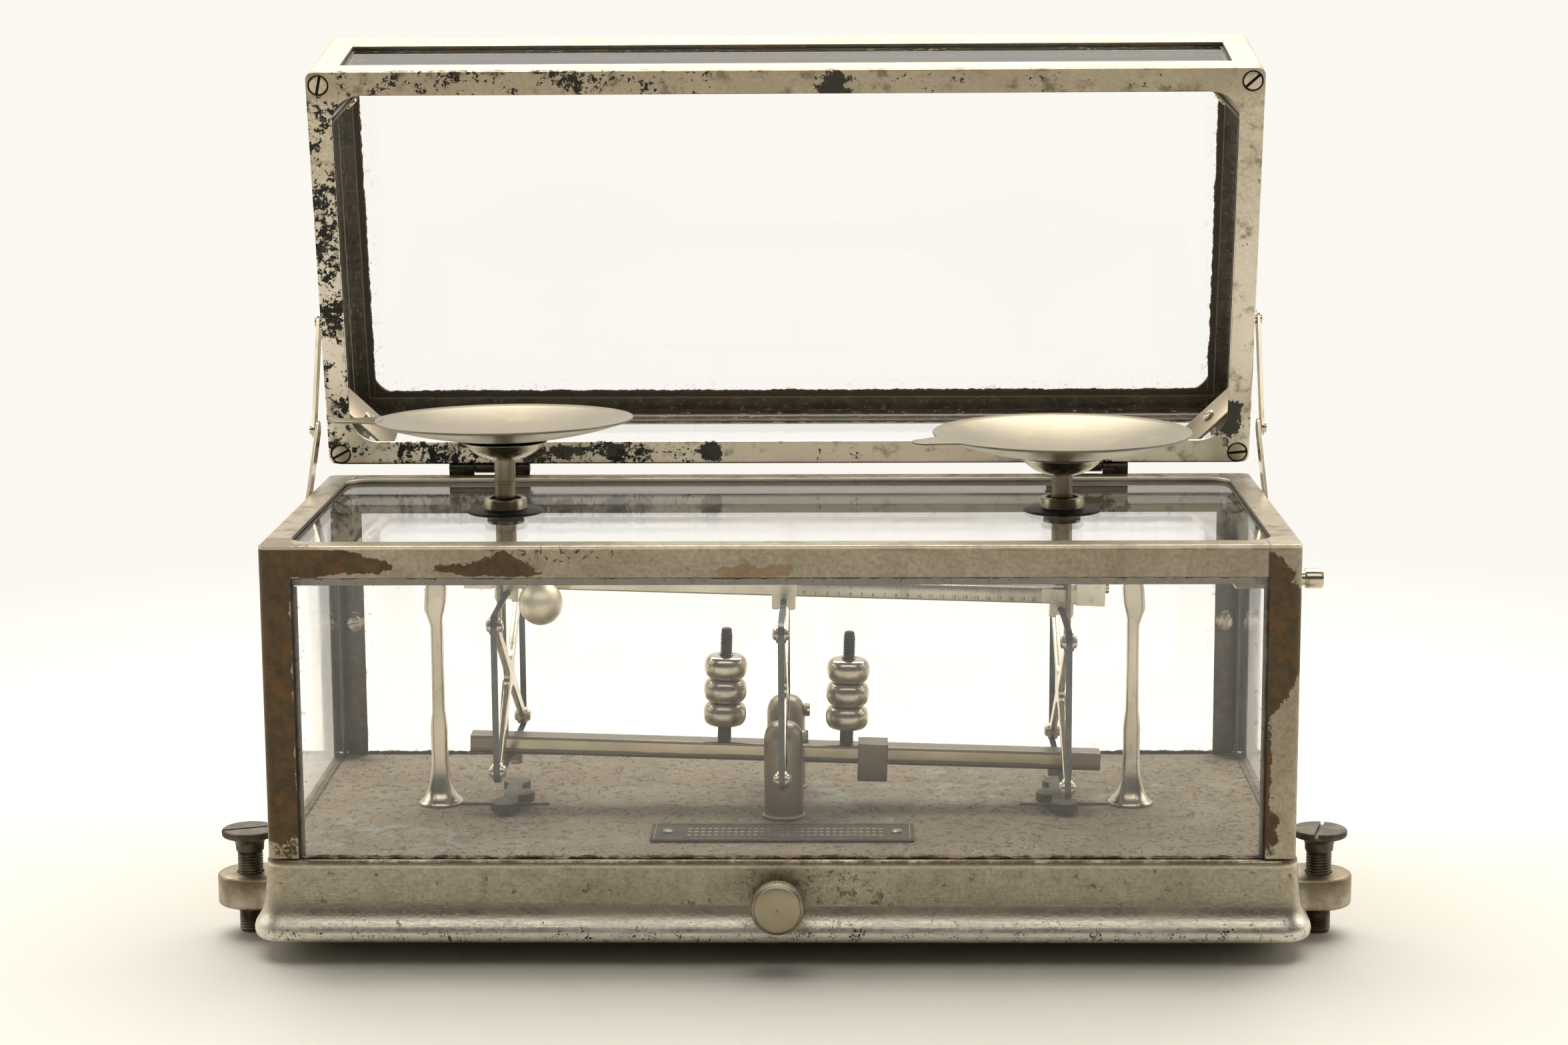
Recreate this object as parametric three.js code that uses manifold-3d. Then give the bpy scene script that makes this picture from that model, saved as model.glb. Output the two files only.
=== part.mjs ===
// Torsion-band analytical balance in a glazed metal case with a hinged glazed lid, shown open.
// Lengths are millimetres and +Z is up. Inside the "balance" group the origin is the middle of the
// case's top face, with +X to the right, -Y to the front and the beam swinging about Y.
import * as THREE from 'three'
import { mergeVertices } from 'three/addons/utils/BufferGeometryUtils.js'
import Module from 'manifold-3d'

const wasm = await Module()
wasm.setup()

// ---- Driving dimensions ----
const CASE_WIDTH = 380
const CASE_DEPTH = 164
const CASE_TOP = 155.5 // height of the case's top above the bench
const FLOOR = -118.15 // top of the base casting, seen from the case's top
const MIDDLE_Y = -23.987 // puts the middle of the whole object's depth on the part's origin
const SHEET = 1.5 // folded sheet of the case and lid
const PANE = 2.2 // glass thickness
const GAP = 0.3 // between pieces that touch

const POST_WIDTH = 12
const TOP_RAIL = 12
const TOP_FLANGE = 10

const LID_ANGLE = THREE.MathUtils.degToRad(79.33)
const LID_DEPTH = 164.65
const LID_HEIGHT = 65.3
const HINGE = new THREE.Vector2(84.4, 2.64) // y and z of the lid's hinge line
const LID_REAR_Y = -2.4 // lid's rear edge, seen from the hinge line with the lid closed
const LID_RIM_Z = -2.14 // lid's rim, seen from the hinge line with the lid closed

const BEAM_TILT = THREE.MathUtils.degToRad(1.75) // right side down, on its stop
const TRUSS_X = 108 // from the centre truss to each end truss, along the beam
const UPPER_BAND_Z = -36.4
const LOWER_BAND_Z = -101
const BAND_HALF_DEPTH = 50

const PAN_RADIUS = 50
const STEM_RADIUS = 4
const SCREW_X = 203.3
const SCREW_Y = -47
const KNOB_X = -0.8
const KNOB_Z = -132.7
const SHAFT_RADIUS = 4
const CAM = { radius: 6.5, offset: 2.2, halfLength: 4 }
const PAD = { x: 107.5, top: -113.1, thickness: 3.6, stem: 2 }
const PAD_LOBES = [[1.5, -16.5, 5.4], [-3.5, -2, 5.4], [0, 16, 5.4]] // away from the middle, y, radius
const STOP_X = 136

// ---- Finishes ----
const nickel = { color: 0xa39c8e, roughness: 0.38, metalness: 0.9 }
const darkNickel = { color: 0x7d766a, roughness: 0.45, metalness: 0.9 }
const castNickel = { color: 0x938c7d, roughness: 0.42, metalness: 0.9 }
const panMetal = { color: 0xb8b0a0, roughness: 0.28, metalness: 0.95 }
const steel = { color: 0x55514b, roughness: 0.5, metalness: 0.85 }
const bandSteel = { color: 0x4a5055, roughness: 0.4, metalness: 0.85 }
const blackened = { color: 0x2f2b28, roughness: 0.6, metalness: 0.6 }
const glass = { color: 0xe8eee8, roughness: 0.05, metalness: 0, transparent: true, opacity: 0.3 }

// ---- Solids ----
function toSolid(geometry) {
  const bare = geometry.clone()
  bare.deleteAttribute('normal')
  bare.deleteAttribute('uv')
  const merged = mergeVertices(bare, 1e-4)
  return new wasm.Manifold(new wasm.Mesh({
    numProp: 3,
    vertProperties: new Float32Array(merged.attributes.position.array),
    triVerts: new Uint32Array(merged.index.array),
  }))
}

function toGeometry(solid) {
  const mesh = solid.getMesh()
  const geometry = new THREE.BufferGeometry()
  geometry.setAttribute('position', new THREE.BufferAttribute(mesh.vertProperties, 3))
  geometry.setIndex(new THREE.BufferAttribute(mesh.triVerts, 1))
  return geometry
}

function join(...pieces) {
  return toGeometry(pieces.map(toSolid).reduce((sum, piece) => sum.add(piece)))
}

function cut(body, ...tools) {
  return toGeometry(tools.map(toSolid).reduce((rest, tool) => rest.subtract(tool), toSolid(body)))
}

// Box between two corners, each [x, y, z].
function block(low, high) {
  const size = high.map((value, axis) => value - low[axis])
  const middle = high.map((value, axis) => (value + low[axis]) / 2)
  return new THREE.BoxGeometry(...size).translate(...middle)
}

// Solid of revolution about Z; the profile is a list of [radius, z] going up the outside.
function turned(profile, sides = 20) {
  const points = profile.map(([radius, z]) => new THREE.Vector2(radius, z))
  return new THREE.LatheGeometry(points, sides).rotateX(Math.PI / 2)
}

function alongX(geometry) {
  return geometry.rotateY(Math.PI / 2)
}

function alongY(geometry) {
  return geometry.rotateX(-Math.PI / 2)
}

// Plain upright cylinder from one height to another.
function pin(radius, low, high, sides = 16) {
  return turned([[0, low], [radius, low], [radius, high], [0, high]], sides)
}

// Closed ring of revolution about Z from an inner radius, bore first.
function ring(profile, sides = 20) {
  return turned([...profile, profile[0]], sides)
}

function roundedOutline(width, depth, radius, middleX = 0, middleY = 0) {
  const x = width / 2 - radius
  const y = depth / 2 - radius
  const quarter = Math.PI / 2
  const outline = new THREE.Shape()
  outline.absarc(middleX + x, middleY - y, radius, -quarter, 0)
  outline.absarc(middleX + x, middleY + y, radius, 0, quarter)
  outline.absarc(middleX - x, middleY + y, radius, quarter, 2 * quarter)
  outline.absarc(middleX - x, middleY - y, radius, 2 * quarter, 3 * quarter)
  outline.closePath()
  return outline
}

// Outline in the XY plane, raised between two heights.
function slab(outline, low, high, curveSegments = 4) {
  const options = { depth: high - low, bevelEnabled: false, curveSegments }
  return new THREE.ExtrudeGeometry(outline, options).translate(0, 0, low)
}

// Outline drawn in the YZ plane, raised between two places along X.
function slabAlongX(outline, low, high, curveSegments = 4) {
  return slab(outline, low, high, curveSegments).rotateX(Math.PI / 2).rotateZ(Math.PI / 2)
}

// ---- The scene ----
const part = new THREE.Group()
const balance = new THREE.Group()
balance.position.set(0, MIDDLE_Y, CASE_TOP)
part.add(balance)

function place(parent, name, geometry, finish) {
  const mesh = new THREE.Mesh(geometry, new THREE.MeshStandardMaterial(finish))
  mesh.name = name
  parent.add(mesh)
}

const SIDES = [['left', -1], ['right', 1]]

// ---- Base casting: coved skirt, hollow below, with an ear for each levelling screw ----
const BASE_PLATE = 4.5
const SKIRT_WALL = 6
const SKIRT = [ // height below the floor and how far it stands out there, from the foot up
  [-30.3, 4.8], [-29, 5.8], [-26.4, 6.2], [-23.4, 5.2], [-21.4, 3.8], [-19.3, 2.8], [-14.9, 2],
  [-8.1, 1.3], [-1.2, 0.7], [0, 0],
]
const EAR = { top: -132.4, bottom: -144.6, radius: 12.4, hole: 5.2 }

function skirtedBlock(width, depth, radius, levels) {
  const steps = levels.length - 1
  const options = { depth: steps, steps, bevelEnabled: false, curveSegments: 4 }
  const geometry = new THREE.ExtrudeGeometry(roundedOutline(width, depth, radius), options)
  const position = geometry.attributes.position
  const coreX = width / 2 - radius
  const coreY = depth / 2 - radius
  for (let i = 0; i < position.count; i += 1) {
    const [z, out] = levels[Math.round(position.getZ(i))]
    const corner = new THREE.Vector2(
      THREE.MathUtils.clamp(position.getX(i), -coreX, coreX),
      THREE.MathUtils.clamp(position.getY(i), -coreY, coreY),
    )
    const edge = new THREE.Vector2(position.getX(i), position.getY(i))
    const outward = edge.clone().sub(corner).normalize()
    edge.addScaledVector(outward, out)
    position.setXYZ(i, edge.x, edge.y, z)
  }
  return geometry
}

function baseCasting() {
  const levels = SKIRT.map(([down, out]) => [FLOOR + down, out])
  const body = skirtedBlock(CASE_WIDTH + 1, CASE_DEPTH, 7, levels)
  const inside = roundedOutline(CASE_WIDTH - 2 * SKIRT_WALL, CASE_DEPTH - 2 * SKIRT_WALL, 6)
  const hollow = slab(inside, FLOOR - 40, FLOOR - BASE_PLATE)
  const ears = []
  const holes = []
  for (const [, side] of SIDES) {
    const reach = SCREW_X - (CASE_WIDTH / 2 - 4)
    const width = reach + 2 * EAR.radius
    const middle = side * (SCREW_X + EAR.radius - width / 2)
    const plan = roundedOutline(width, 2 * EAR.radius, EAR.radius - 0.01, middle, SCREW_Y)
    ears.push(slab(plan, EAR.bottom, EAR.top, 8))
    holes.push(pin(EAR.hole, EAR.bottom - 2, EAR.top + 2).translate(side * SCREW_X, SCREW_Y, 0))
    holes.push(pin(PAD.stem + 0.4, FLOOR - 10, FLOOR + 5).translate(side * PAD.x, 0, 0))
  }
  const shaftHole = alongY(pin(SHAFT_RADIUS + GAP, 0, 20))
    .translate(KNOB_X, -CASE_DEPTH / 2 - 8, KNOB_Z)
  return cut(join(cut(body, hollow), ...ears.map((ear) => cut(ear, hollow))), shaftHole, ...holes)
}

place(balance, 'base_casting', baseCasting(), castNickel)
place(
  balance,
  'rear_foot',
  turned([
    [0, -CASE_TOP], [8, -CASE_TOP], [9, -CASE_TOP + 1.5], [8, -CASE_TOP + 5],
    [6, -CASE_TOP + 8], [6, FLOOR - BASE_PLATE - GAP], [0, FLOOR - BASE_PLATE - GAP],
  ]).translate(0, 62, 0),
  steel,
)

// ---- Case: folded sheet frame with panes behind it ----
function caseFrame() {
  const bottom = FLOOR + GAP
  const shell = slab(roundedOutline(CASE_WIDTH, CASE_DEPTH, 3), bottom, 0)
  const insideX = CASE_WIDTH / 2 - SHEET
  const insideY = CASE_DEPTH / 2 - SHEET
  const inside = block([-insideX, -insideY, bottom - 5], [insideX, insideY, -SHEET])
  const windowX = CASE_WIDTH / 2 - POST_WIDTH
  const windowY = CASE_DEPTH / 2 - POST_WIDTH
  const frontToBack = block([-windowX, -CASE_DEPTH, bottom - 5], [windowX, CASE_DEPTH, -TOP_RAIL])
  const sideToSide = block([-CASE_WIDTH, -windowY, bottom - 5], [CASE_WIDTH, windowY, -TOP_RAIL])
  const skylight = slab(
    roundedOutline(CASE_WIDTH - 2 * TOP_FLANGE, CASE_DEPTH - 2 * TOP_FLANGE, 9), -5, 5)
  return cut(shell, inside, frontToBack, sideToSide, skylight)
}

const PANE_OUT_X = CASE_WIDTH / 2 - SHEET - GAP
const PANE_OUT_Y = CASE_DEPTH / 2 - SHEET - GAP
const TOP_PANE = { top: -SHEET - GAP, bottom: -SHEET - GAP - PANE }
const COLLAR = { bore: 6.25, spigot: 7.2, ring: 8.3, flange: 15, top: 4.2 }
const RIDER = { radius: 3.95, y: -20, z: -24.4, inner: 30, outer: 206.4 }

place(balance, 'case_frame', caseFrame(), nickel)
for (const [name, side] of [['front_glass', -1], ['rear_glass', 1]]) {
  const y = [side * PANE_OUT_Y, side * (PANE_OUT_Y - PANE)].sort((a, b) => a - b)
  const low = [-PANE_OUT_X, y[0], FLOOR + GAP]
  const high = [PANE_OUT_X, y[1], TOP_PANE.bottom - GAP]
  place(balance, name, block(low, high), glass)
}
for (const [name, side] of SIDES) {
  const x = [side * PANE_OUT_X, side * (PANE_OUT_X - PANE)].sort((a, b) => a - b)
  const halfDepth = PANE_OUT_Y - PANE - GAP
  const low = [x[0], -halfDepth, FLOOR + GAP]
  const high = [x[1], halfDepth, TOP_PANE.bottom - GAP]
  const pane = block(low, high)
  const rodHole = alongX(pin(RIDER.radius + GAP, 0, 30)).translate(PANE_OUT_X - 15, RIDER.y, RIDER.z)
  place(balance, `${name}_glass`, side > 0 ? cut(pane, rodHole) : pane, glass)
}
{
  const pane = block([-PANE_OUT_X, -PANE_OUT_Y, TOP_PANE.bottom], [PANE_OUT_X, PANE_OUT_Y, TOP_PANE.top])
  const holes = SIDES.map(([, side]) => pin(COLLAR.spigot + 0.4, -10, 10).translate(side * TRUSS_X, 0, 0))
  place(balance, 'top_glass', cut(pane, ...holes), glass)
}
for (const [name, side] of SIDES) {
  const seat = TOP_PANE.top + GAP
  const foot = TOP_PANE.bottom - 1.5
  const collar = ring([
    [COLLAR.bore, foot], [COLLAR.spigot, foot], [COLLAR.spigot, seat], [COLLAR.flange, seat],
    [COLLAR.flange, seat + 0.7], [COLLAR.ring, seat + 1.3], [COLLAR.ring, COLLAR.top],
    [COLLAR.bore, COLLAR.top],
  ])
  place(balance, `${name}_collar`, collar.translate(side * TRUSS_X, 0, 0), blackened)
}

// ---- Case floor: pillars, fixed centre truss, stop posts, nameplate ----
const BAND_MIDDLE_Z = (UPPER_BAND_Z + LOWER_BAND_Z) / 2
const BAND_HALF_HEIGHT = (UPPER_BAND_Z - LOWER_BAND_Z) / 2
const BAND = { width: 2.4, thickness: 0.5, corner: 4 }
const TRUSS_PLATE = 2.5
const PILLAR = { radius: 7.6, top: -80.2, hole: 3.3, frontY: -20, rearY: 25 }

// Flat X-shaped frame in the YZ plane, with a round boss at each end for the band to bear on.
function trussFrame() {
  const bossRadius = BAND.corner - BAND.thickness / 2 - GAP
  const reach = BAND.thickness / 2 + GAP + bossRadius
  const bossY = BAND_HALF_DEPTH - reach
  const bossZ = BAND_HALF_HEIGHT - reach
  const length = 2 * Math.hypot(bossY, bossZ)
  const pieces = []
  for (const slope of [-1, 1]) {
    const arm = block([-TRUSS_PLATE / 2, -length / 2, -2.3], [TRUSS_PLATE / 2, length / 2, 2.3])
    pieces.push(arm.rotateX(slope * Math.atan2(bossZ, bossY)))
    for (const end of [-1, 1]) {
      const boss = alongX(pin(bossRadius, -1.9, 1.9, 12))
      pieces.push(boss.translate(0, end * bossY, end * slope * bossZ))
    }
  }
  return join(...pieces)
}

// Endless steel band stretched round the four bosses.
function torsionBand() {
  const half = BAND.thickness / 2
  const size = (grow) => [2 * (BAND_HALF_DEPTH + grow), 2 * (BAND_HALF_HEIGHT + grow), BAND.corner + grow]
  const outline = roundedOutline(...size(half))
  outline.holes.push(roundedOutline(...size(-half)))
  return slabAlongX(outline, -BAND.width / 2, BAND.width / 2, 3)
}

function pillar() {
  const { radius, top } = PILLAR
  const body = turned([
    [0, FLOOR + GAP], [radius + 0.8, FLOOR + GAP], [radius + 0.8, FLOOR + 1.2], [radius, FLOOR + 1.6],
    [radius, top - 4.6], [radius * 0.9, top - 2], [radius * 0.6, top - 0.4], [0, top],
  ])
  const slotHalf = TRUSS_PLATE / 2 + GAP
  const slot = block([-slotHalf, -12, LOWER_BAND_Z], [slotHalf, 12, top + 5])
  const hole = alongY(pin(PILLAR.hole, -12, 12, 20)).translate(0, 0, LOWER_BAND_Z)
  return cut(body, slot, hole)
}

place(balance, 'front_pillar', pillar().translate(0, PILLAR.frontY, 0), darkNickel)
place(balance, 'rear_pillar', pillar().translate(0, PILLAR.rearY, 0), darkNickel)
place(balance, 'centre_truss', trussFrame().translate(0, 0, BAND_MIDDLE_Z), nickel)
place(balance, 'centre_band', torsionBand().translate(0, 0, BAND_MIDDLE_Z), bandSteel)

function stopPost(side) {
  const foot = FLOOR + GAP
  const flare = turned([
    [0, foot], [9, foot], [9, foot + 0.8], [6.6, foot + 3.4], [4.8, foot + 7.4], [3.6, foot + 15],
    [0, foot + 15],
  ])
  const outline = new THREE.Shape([
    [-3.3, foot + 12], [3.3, foot + 12], [3.4, -86], [2.5, -80], [2.5, -46], [4.4, -39], [4.4, -32],
    [2.8, -27], [2.8, -20], [-2.8, -20], [-2.5, -80], [-3.4, -86],
  ].map(([x, z]) => new THREE.Vector2(side * x, z)))
  const bar = slab(outline, -3, 3).rotateX(Math.PI / 2)
  return join(flare, bar)
}

for (const [name, side] of SIDES) {
  place(balance, `${name}_stop_post`, stopPost(side).translate(side * STOP_X, 0, 0), darkNickel)
}
place(
  balance,
  'nameplate',
  slab(roundedOutline(100, 23.8, 1.6, 0, -46.4), FLOOR + GAP, FLOOR + GAP + 0.8),
  darkNickel,
)

// ---- Arrest: knob and cam shaft under the floor, lifting bar, and a pad under each end truss ----
place(
  balance,
  'arrest_knob',
  alongY(turned([
    [0, -98.05], [8.6, -98.05], [9.85, -97], [9.85, -91.4], [9, -90.4], [0, -90.4],
  ], 28)).translate(KNOB_X, 0, KNOB_Z),
  nickel,
)
place(
  balance,
  'arrest_shaft',
  join(
    alongY(pin(SHAFT_RADIUS, -90.1, 5)).translate(KNOB_X, 0, KNOB_Z),
    alongY(pin(CAM.radius, -CAM.halfLength, CAM.halfLength)).translate(KNOB_X, 0, KNOB_Z - CAM.offset),
  ),
  steel,
)
const LIFT_BAR = { bottom: KNOB_Z + CAM.radius - CAM.offset + GAP, height: 3 }
place(
  balance,
  'lifting_bar',
  block([-112, -4, LIFT_BAR.bottom], [112, 4, LIFT_BAR.bottom + LIFT_BAR.height]),
  steel,
)

// Three-lobed pad on a stem, with a cross pin through its front lobe; its top is at the origin.
function arrestPad(side) {
  const lobes = PAD_LOBES.map(([x, y, radius]) =>
    pin(radius, -PAD.thickness, 0).translate(side * x, y, 0))
  const bridge = block([-3, PAD_LOBES[0][1], -PAD.thickness], [3, PAD_LOBES[2][1], 0])
  const stem = pin(PAD.stem, LIFT_BAR.bottom + LIFT_BAR.height + GAP - PAD.top, -2, 12)
  const ends = [side * -16, side * 18.6].sort((a, b) => a - b)
  const crossPin = alongX(pin(0.6, ...ends, 8)).translate(0, PAD_LOBES[0][1], -1.2)
  return join(...lobes, bridge, stem, crossPin)
}

for (const [name, side] of SIDES) {
  place(balance, `${name}_arrest_pad`, arrestPad(side).translate(side * PAD.x, 0, PAD.top), darkNickel)
}

// ---- Levelling screws, which carry the front of the balance ----
for (const [name, side] of SIDES) {
  const screw = turned([
    [0, -CASE_TOP], [4.3, -CASE_TOP], [4.9, -CASE_TOP + 0.8], [4.9, -124.5], [5.25, -123.8], [5.6, -120.4],
    [8.2, -118.3], [10.4, -118.3], [10.4, -115.5], [0, -115.5],
  ])
  place(balance, `${name}_levelling_screw`, screw.translate(side * SCREW_X, SCREW_Y, 0), steel)
}

// ---- Hinges: three knuckles on one pin, the outer two on the case ----
const KNUCKLE = { radius: 2.3, pinRadius: 1.2, half: 6 }
const LEAF = { x: 123.65, half: 16.7, front: -1.9, back: -0.9 }

function hingeBlock(x, z) {
  return block([x[0], LEAF.front, z[0]], [x[1], LEAF.back, z[1]])
}

function caseLeaf() {
  const inner = KNUCKLE.half + GAP
  const spans = [[-LEAF.half, -inner], [inner, LEAF.half]]
  const webs = spans.map((span) => hingeBlock(span, [-3.2, -0.5]))
  const knuckles = spans.map((span) => alongX(pin(KNUCKLE.radius, ...span, 12)))
  const hingePin = alongX(pin(KNUCKLE.pinRadius, -LEAF.half, LEAF.half, 12))
  const plate = hingeBlock([-LEAF.half, LEAF.half], [-14, -2.9])
  return join(plate, ...webs, ...knuckles, hingePin)
}

function lidLeaf() {
  const span = [-KNUCKLE.half, KNUCKLE.half]
  const bore = alongX(pin(KNUCKLE.pinRadius + GAP, span[0] - 1, span[1] + 1, 12))
  const knuckle = cut(alongX(pin(KNUCKLE.radius, ...span, 12)), bore)
  const plate = hingeBlock([-LEAF.half, LEAF.half], [3, 12])
  return join(knuckle, hingeBlock(span, [1.4, 3.4]), plate)
}

for (const [name, side] of SIDES) {
  place(
    balance,
    `${name}_hinge_case_leaf`,
    caseLeaf().translate(side * LEAF.x, HINGE.x, HINGE.y),
    darkNickel,
  )
}

// ---- Lid: glazed box built closed about the hinge line, then turned open ----
const lid = new THREE.Group()
lid.position.set(0, HINGE.x, HINGE.y)
lid.rotation.x = -LID_ANGLE
balance.add(lid)

const LID_RIM_STRIP = 13.4
const LID_TOP_STRIP = 16
const LID_FLANGE = 9.5
const LID_MIDDLE_Y = LID_REAR_Y - LID_DEPTH / 2
const LID_TOP_Z = LID_RIM_Z + LID_HEIGHT

function lidFrame() {
  const outline = (shrink, radius) =>
    roundedOutline(CASE_WIDTH - 2 * shrink, LID_DEPTH - 2 * shrink, radius, 0, LID_MIDDLE_Y)
  const shell = slab(outline(0, 3), LID_RIM_Z, LID_TOP_Z)
  const insideX = CASE_WIDTH / 2 - SHEET
  const insideY = LID_DEPTH / 2 - SHEET
  const inside = block(
    [-insideX, LID_MIDDLE_Y - insideY, LID_RIM_Z + SHEET],
    [insideX, LID_MIDDLE_Y + insideY, LID_TOP_Z - SHEET],
  )
  const mouth = slab(outline(LID_FLANGE, 12), LID_RIM_Z - 5, LID_RIM_Z + 5)
  const skylight = slab(outline(LID_FLANGE, 12), LID_TOP_Z - 5, LID_TOP_Z + 5)
  const low = LID_RIM_Z + LID_RIM_STRIP
  const high = LID_TOP_Z - LID_TOP_STRIP
  const windowX = CASE_WIDTH / 2 - POST_WIDTH
  const windowY = LID_DEPTH / 2 - POST_WIDTH
  const frontToBack = block([-windowX, LID_MIDDLE_Y - 100, low], [windowX, LID_MIDDLE_Y + 100, high])
  const sideToSide = block(
    [-CASE_WIDTH, LID_MIDDLE_Y - windowY, low], [CASE_WIDTH, LID_MIDDLE_Y + windowY, high])
  return cut(shell, inside, mouth, skylight, frontToBack, sideToSide)
}

function addLid() {
  place(lid, 'lid_frame', lidFrame(), nickel)
  const outX = CASE_WIDTH / 2 - SHEET - GAP
  const outY = LID_DEPTH / 2 - SHEET - GAP
  const low = LID_RIM_Z + SHEET + GAP
  const top = LID_TOP_Z - SHEET - GAP
  const topPane = block([-outX, LID_MIDDLE_Y - outY, top - PANE], [outX, LID_MIDDLE_Y + outY, top])
  place(lid, 'lid_top_glass', topPane, glass)
  const high = top - PANE - GAP
  for (const [name, side] of [['front', -1], ['rear', 1]]) {
    const y = [side * outY, side * (outY - PANE)].sort((a, b) => a - b)
    const pane = block([-outX, LID_MIDDLE_Y + y[0], low], [outX, LID_MIDDLE_Y + y[1], high])
    place(lid, `lid_${name}_glass`, pane, glass)
  }
  for (const [name, side] of SIDES) {
    const x = [side * outX, side * (outX - PANE)].sort((a, b) => a - b)
    const halfDepth = outY - PANE - GAP
    const pane = block([x[0], LID_MIDDLE_Y - halfDepth, low], [x[1], LID_MIDDLE_Y + halfDepth, high])
    place(lid, `lid_${name}_glass`, pane, glass)
    const leaf = lidLeaf().translate(side * LEAF.x, 0, 0)
    place(lid, `${name}_hinge_lid_leaf`, leaf, darkNickel)
  }
}

addLid()

// ---- Stays: two folding links on each side that stop the lid ----
const STAY = { width: 7, thickness: 1.2, rivet: 2.3, boss: 2.6, lowerX: 190.6, upperX: 192.2 }
const STAY_FOOT = new THREE.Vector2(32, -7) // y and z of each pivot with the lid open
const STAY_ELBOW = new THREE.Vector2(64.2, 21.7)
const STAY_HEAD = new THREE.Vector2(84.5, 63.7)

// Round-ended link between two pivots, outside the case, with rivet heads and a boss to stand it off.
function stayLink(side, from, to, inner, rivetEnds, bossEnd) {
  const along = to.clone().sub(from)
  const length = along.length()
  const outer = inner + STAY.thickness
  const outward = (low, high) => [side * low, side * high].sort((a, b) => a - b)
  const outline = roundedOutline(length + STAY.width, STAY.width, STAY.width / 2 - 0.01, length / 2, 0)
  const plate = slabAlongX(outline, ...outward(inner, outer), 4)
  const rivets = rivetEnds.map((end) =>
    alongX(pin(STAY.rivet, ...outward(outer - 0.2, outer + 1), 12)).translate(0, end * length, 0))
  const boss = alongX(pin(STAY.boss, ...outward(CASE_WIDTH / 2 + GAP, inner + 0.2), 12))
  boss.translate(0, bossEnd * length, 0)
  const link = join(plate, ...rivets, boss)
  return link.rotateX(Math.atan2(along.y, along.x)).translate(0, from.x, from.y)
}

for (const [name, side] of SIDES) {
  const lower = stayLink(side, STAY_FOOT, STAY_ELBOW, STAY.lowerX, [0], 0)
  const upper = stayLink(side, STAY_ELBOW, STAY_HEAD, STAY.upperX, [0, 1], 1)
  place(balance, `${name}_stay_lower`, lower, nickel)
  place(balance, `${name}_stay_upper`, upper, nickel)
}

// ---- Beams: each turns on the centre truss's band, and both stay parallel ----
const UPPER = { bottom: 2, top: 8.4, half: 4, end: 124.6, endFrom: 113.4, endTop: 12 }
const LOWER = { bottom: 0.55, top: 7.65, half: 5, end: 123.5 }
const CLAMP = { half: 4.6, below: -2.2, slotX: 1.6, slotZ: 0.6 }
const POISE_X = 24
const ROD_RADIUS = 2.5
const NUT = { radius: 8.4, height: 9.1, first: 13.9 }

const upperBeam = new THREE.Group()
upperBeam.position.z = UPPER_BAND_Z
upperBeam.rotation.y = BEAM_TILT
const lowerBeam = new THREE.Group()
lowerBeam.position.z = LOWER_BAND_Z
lowerBeam.rotation.y = BEAM_TILT
balance.add(upperBeam, lowerBeam)

// Clamps under a beam that hold it to the three bands, each with a slot for the band.
function clamped(beam, depth, seat) {
  const bosses = []
  const slots = []
  for (const x of [-TRUSS_X, 0, TRUSS_X]) {
    const low = [x - CLAMP.half, -depth, CLAMP.below]
    bosses.push(block(low, [x + CLAMP.half, depth, seat + 0.5]))
    const slotLow = [x - CLAMP.slotX, -20, -CLAMP.slotZ]
    slots.push(block(slotLow, [x + CLAMP.slotX, 20, CLAMP.slotZ]))
  }
  return cut(join(beam, ...bosses), ...slots)
}

function barSection(halfDepth, low, high, radius) {
  return roundedOutline(2 * halfDepth, high - low, radius, 0, (high + low) / 2)
}

function upperBeamSolid() {
  const { bottom, top, half, end, endFrom, endTop } = UPPER
  const bar = slabAlongX(barSection(half, bottom, top, 0.8), -end, end, 3)
  const ends = [-1, 1].map((side) => {
    const x = [side * endFrom, side * end].sort((a, b) => a - b)
    return block([x[0], -half - 1, bottom - 0.2], [x[1], half + 1, endTop])
  })
  const endScrew = alongX(pin(2, end - 1, end + 1.6, 12)).translate(0, 0, 8)
  const lug = block([1, -half, top - 1], [5, half, top + 2])
  return clamped(join(bar, ...ends, endScrew, lug), 4, bottom)
}

function lowerBeamSolid() {
  const { bottom, top, half, end } = LOWER
  return clamped(slabAlongX(barSection(half, bottom, top, 1.2), -end, end, 3), 4, bottom)
}

function poiseNut() {
  const { radius, height } = NUT
  const bore = ROD_RADIUS + GAP
  return ring([
    [bore, 0], [5.2, 0], [7.4, 1.3], [radius, 3.4], [radius, height - 3.4], [7.4, height - 1.3],
    [5.2, height], [bore, height],
  ], 16)
}

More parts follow.
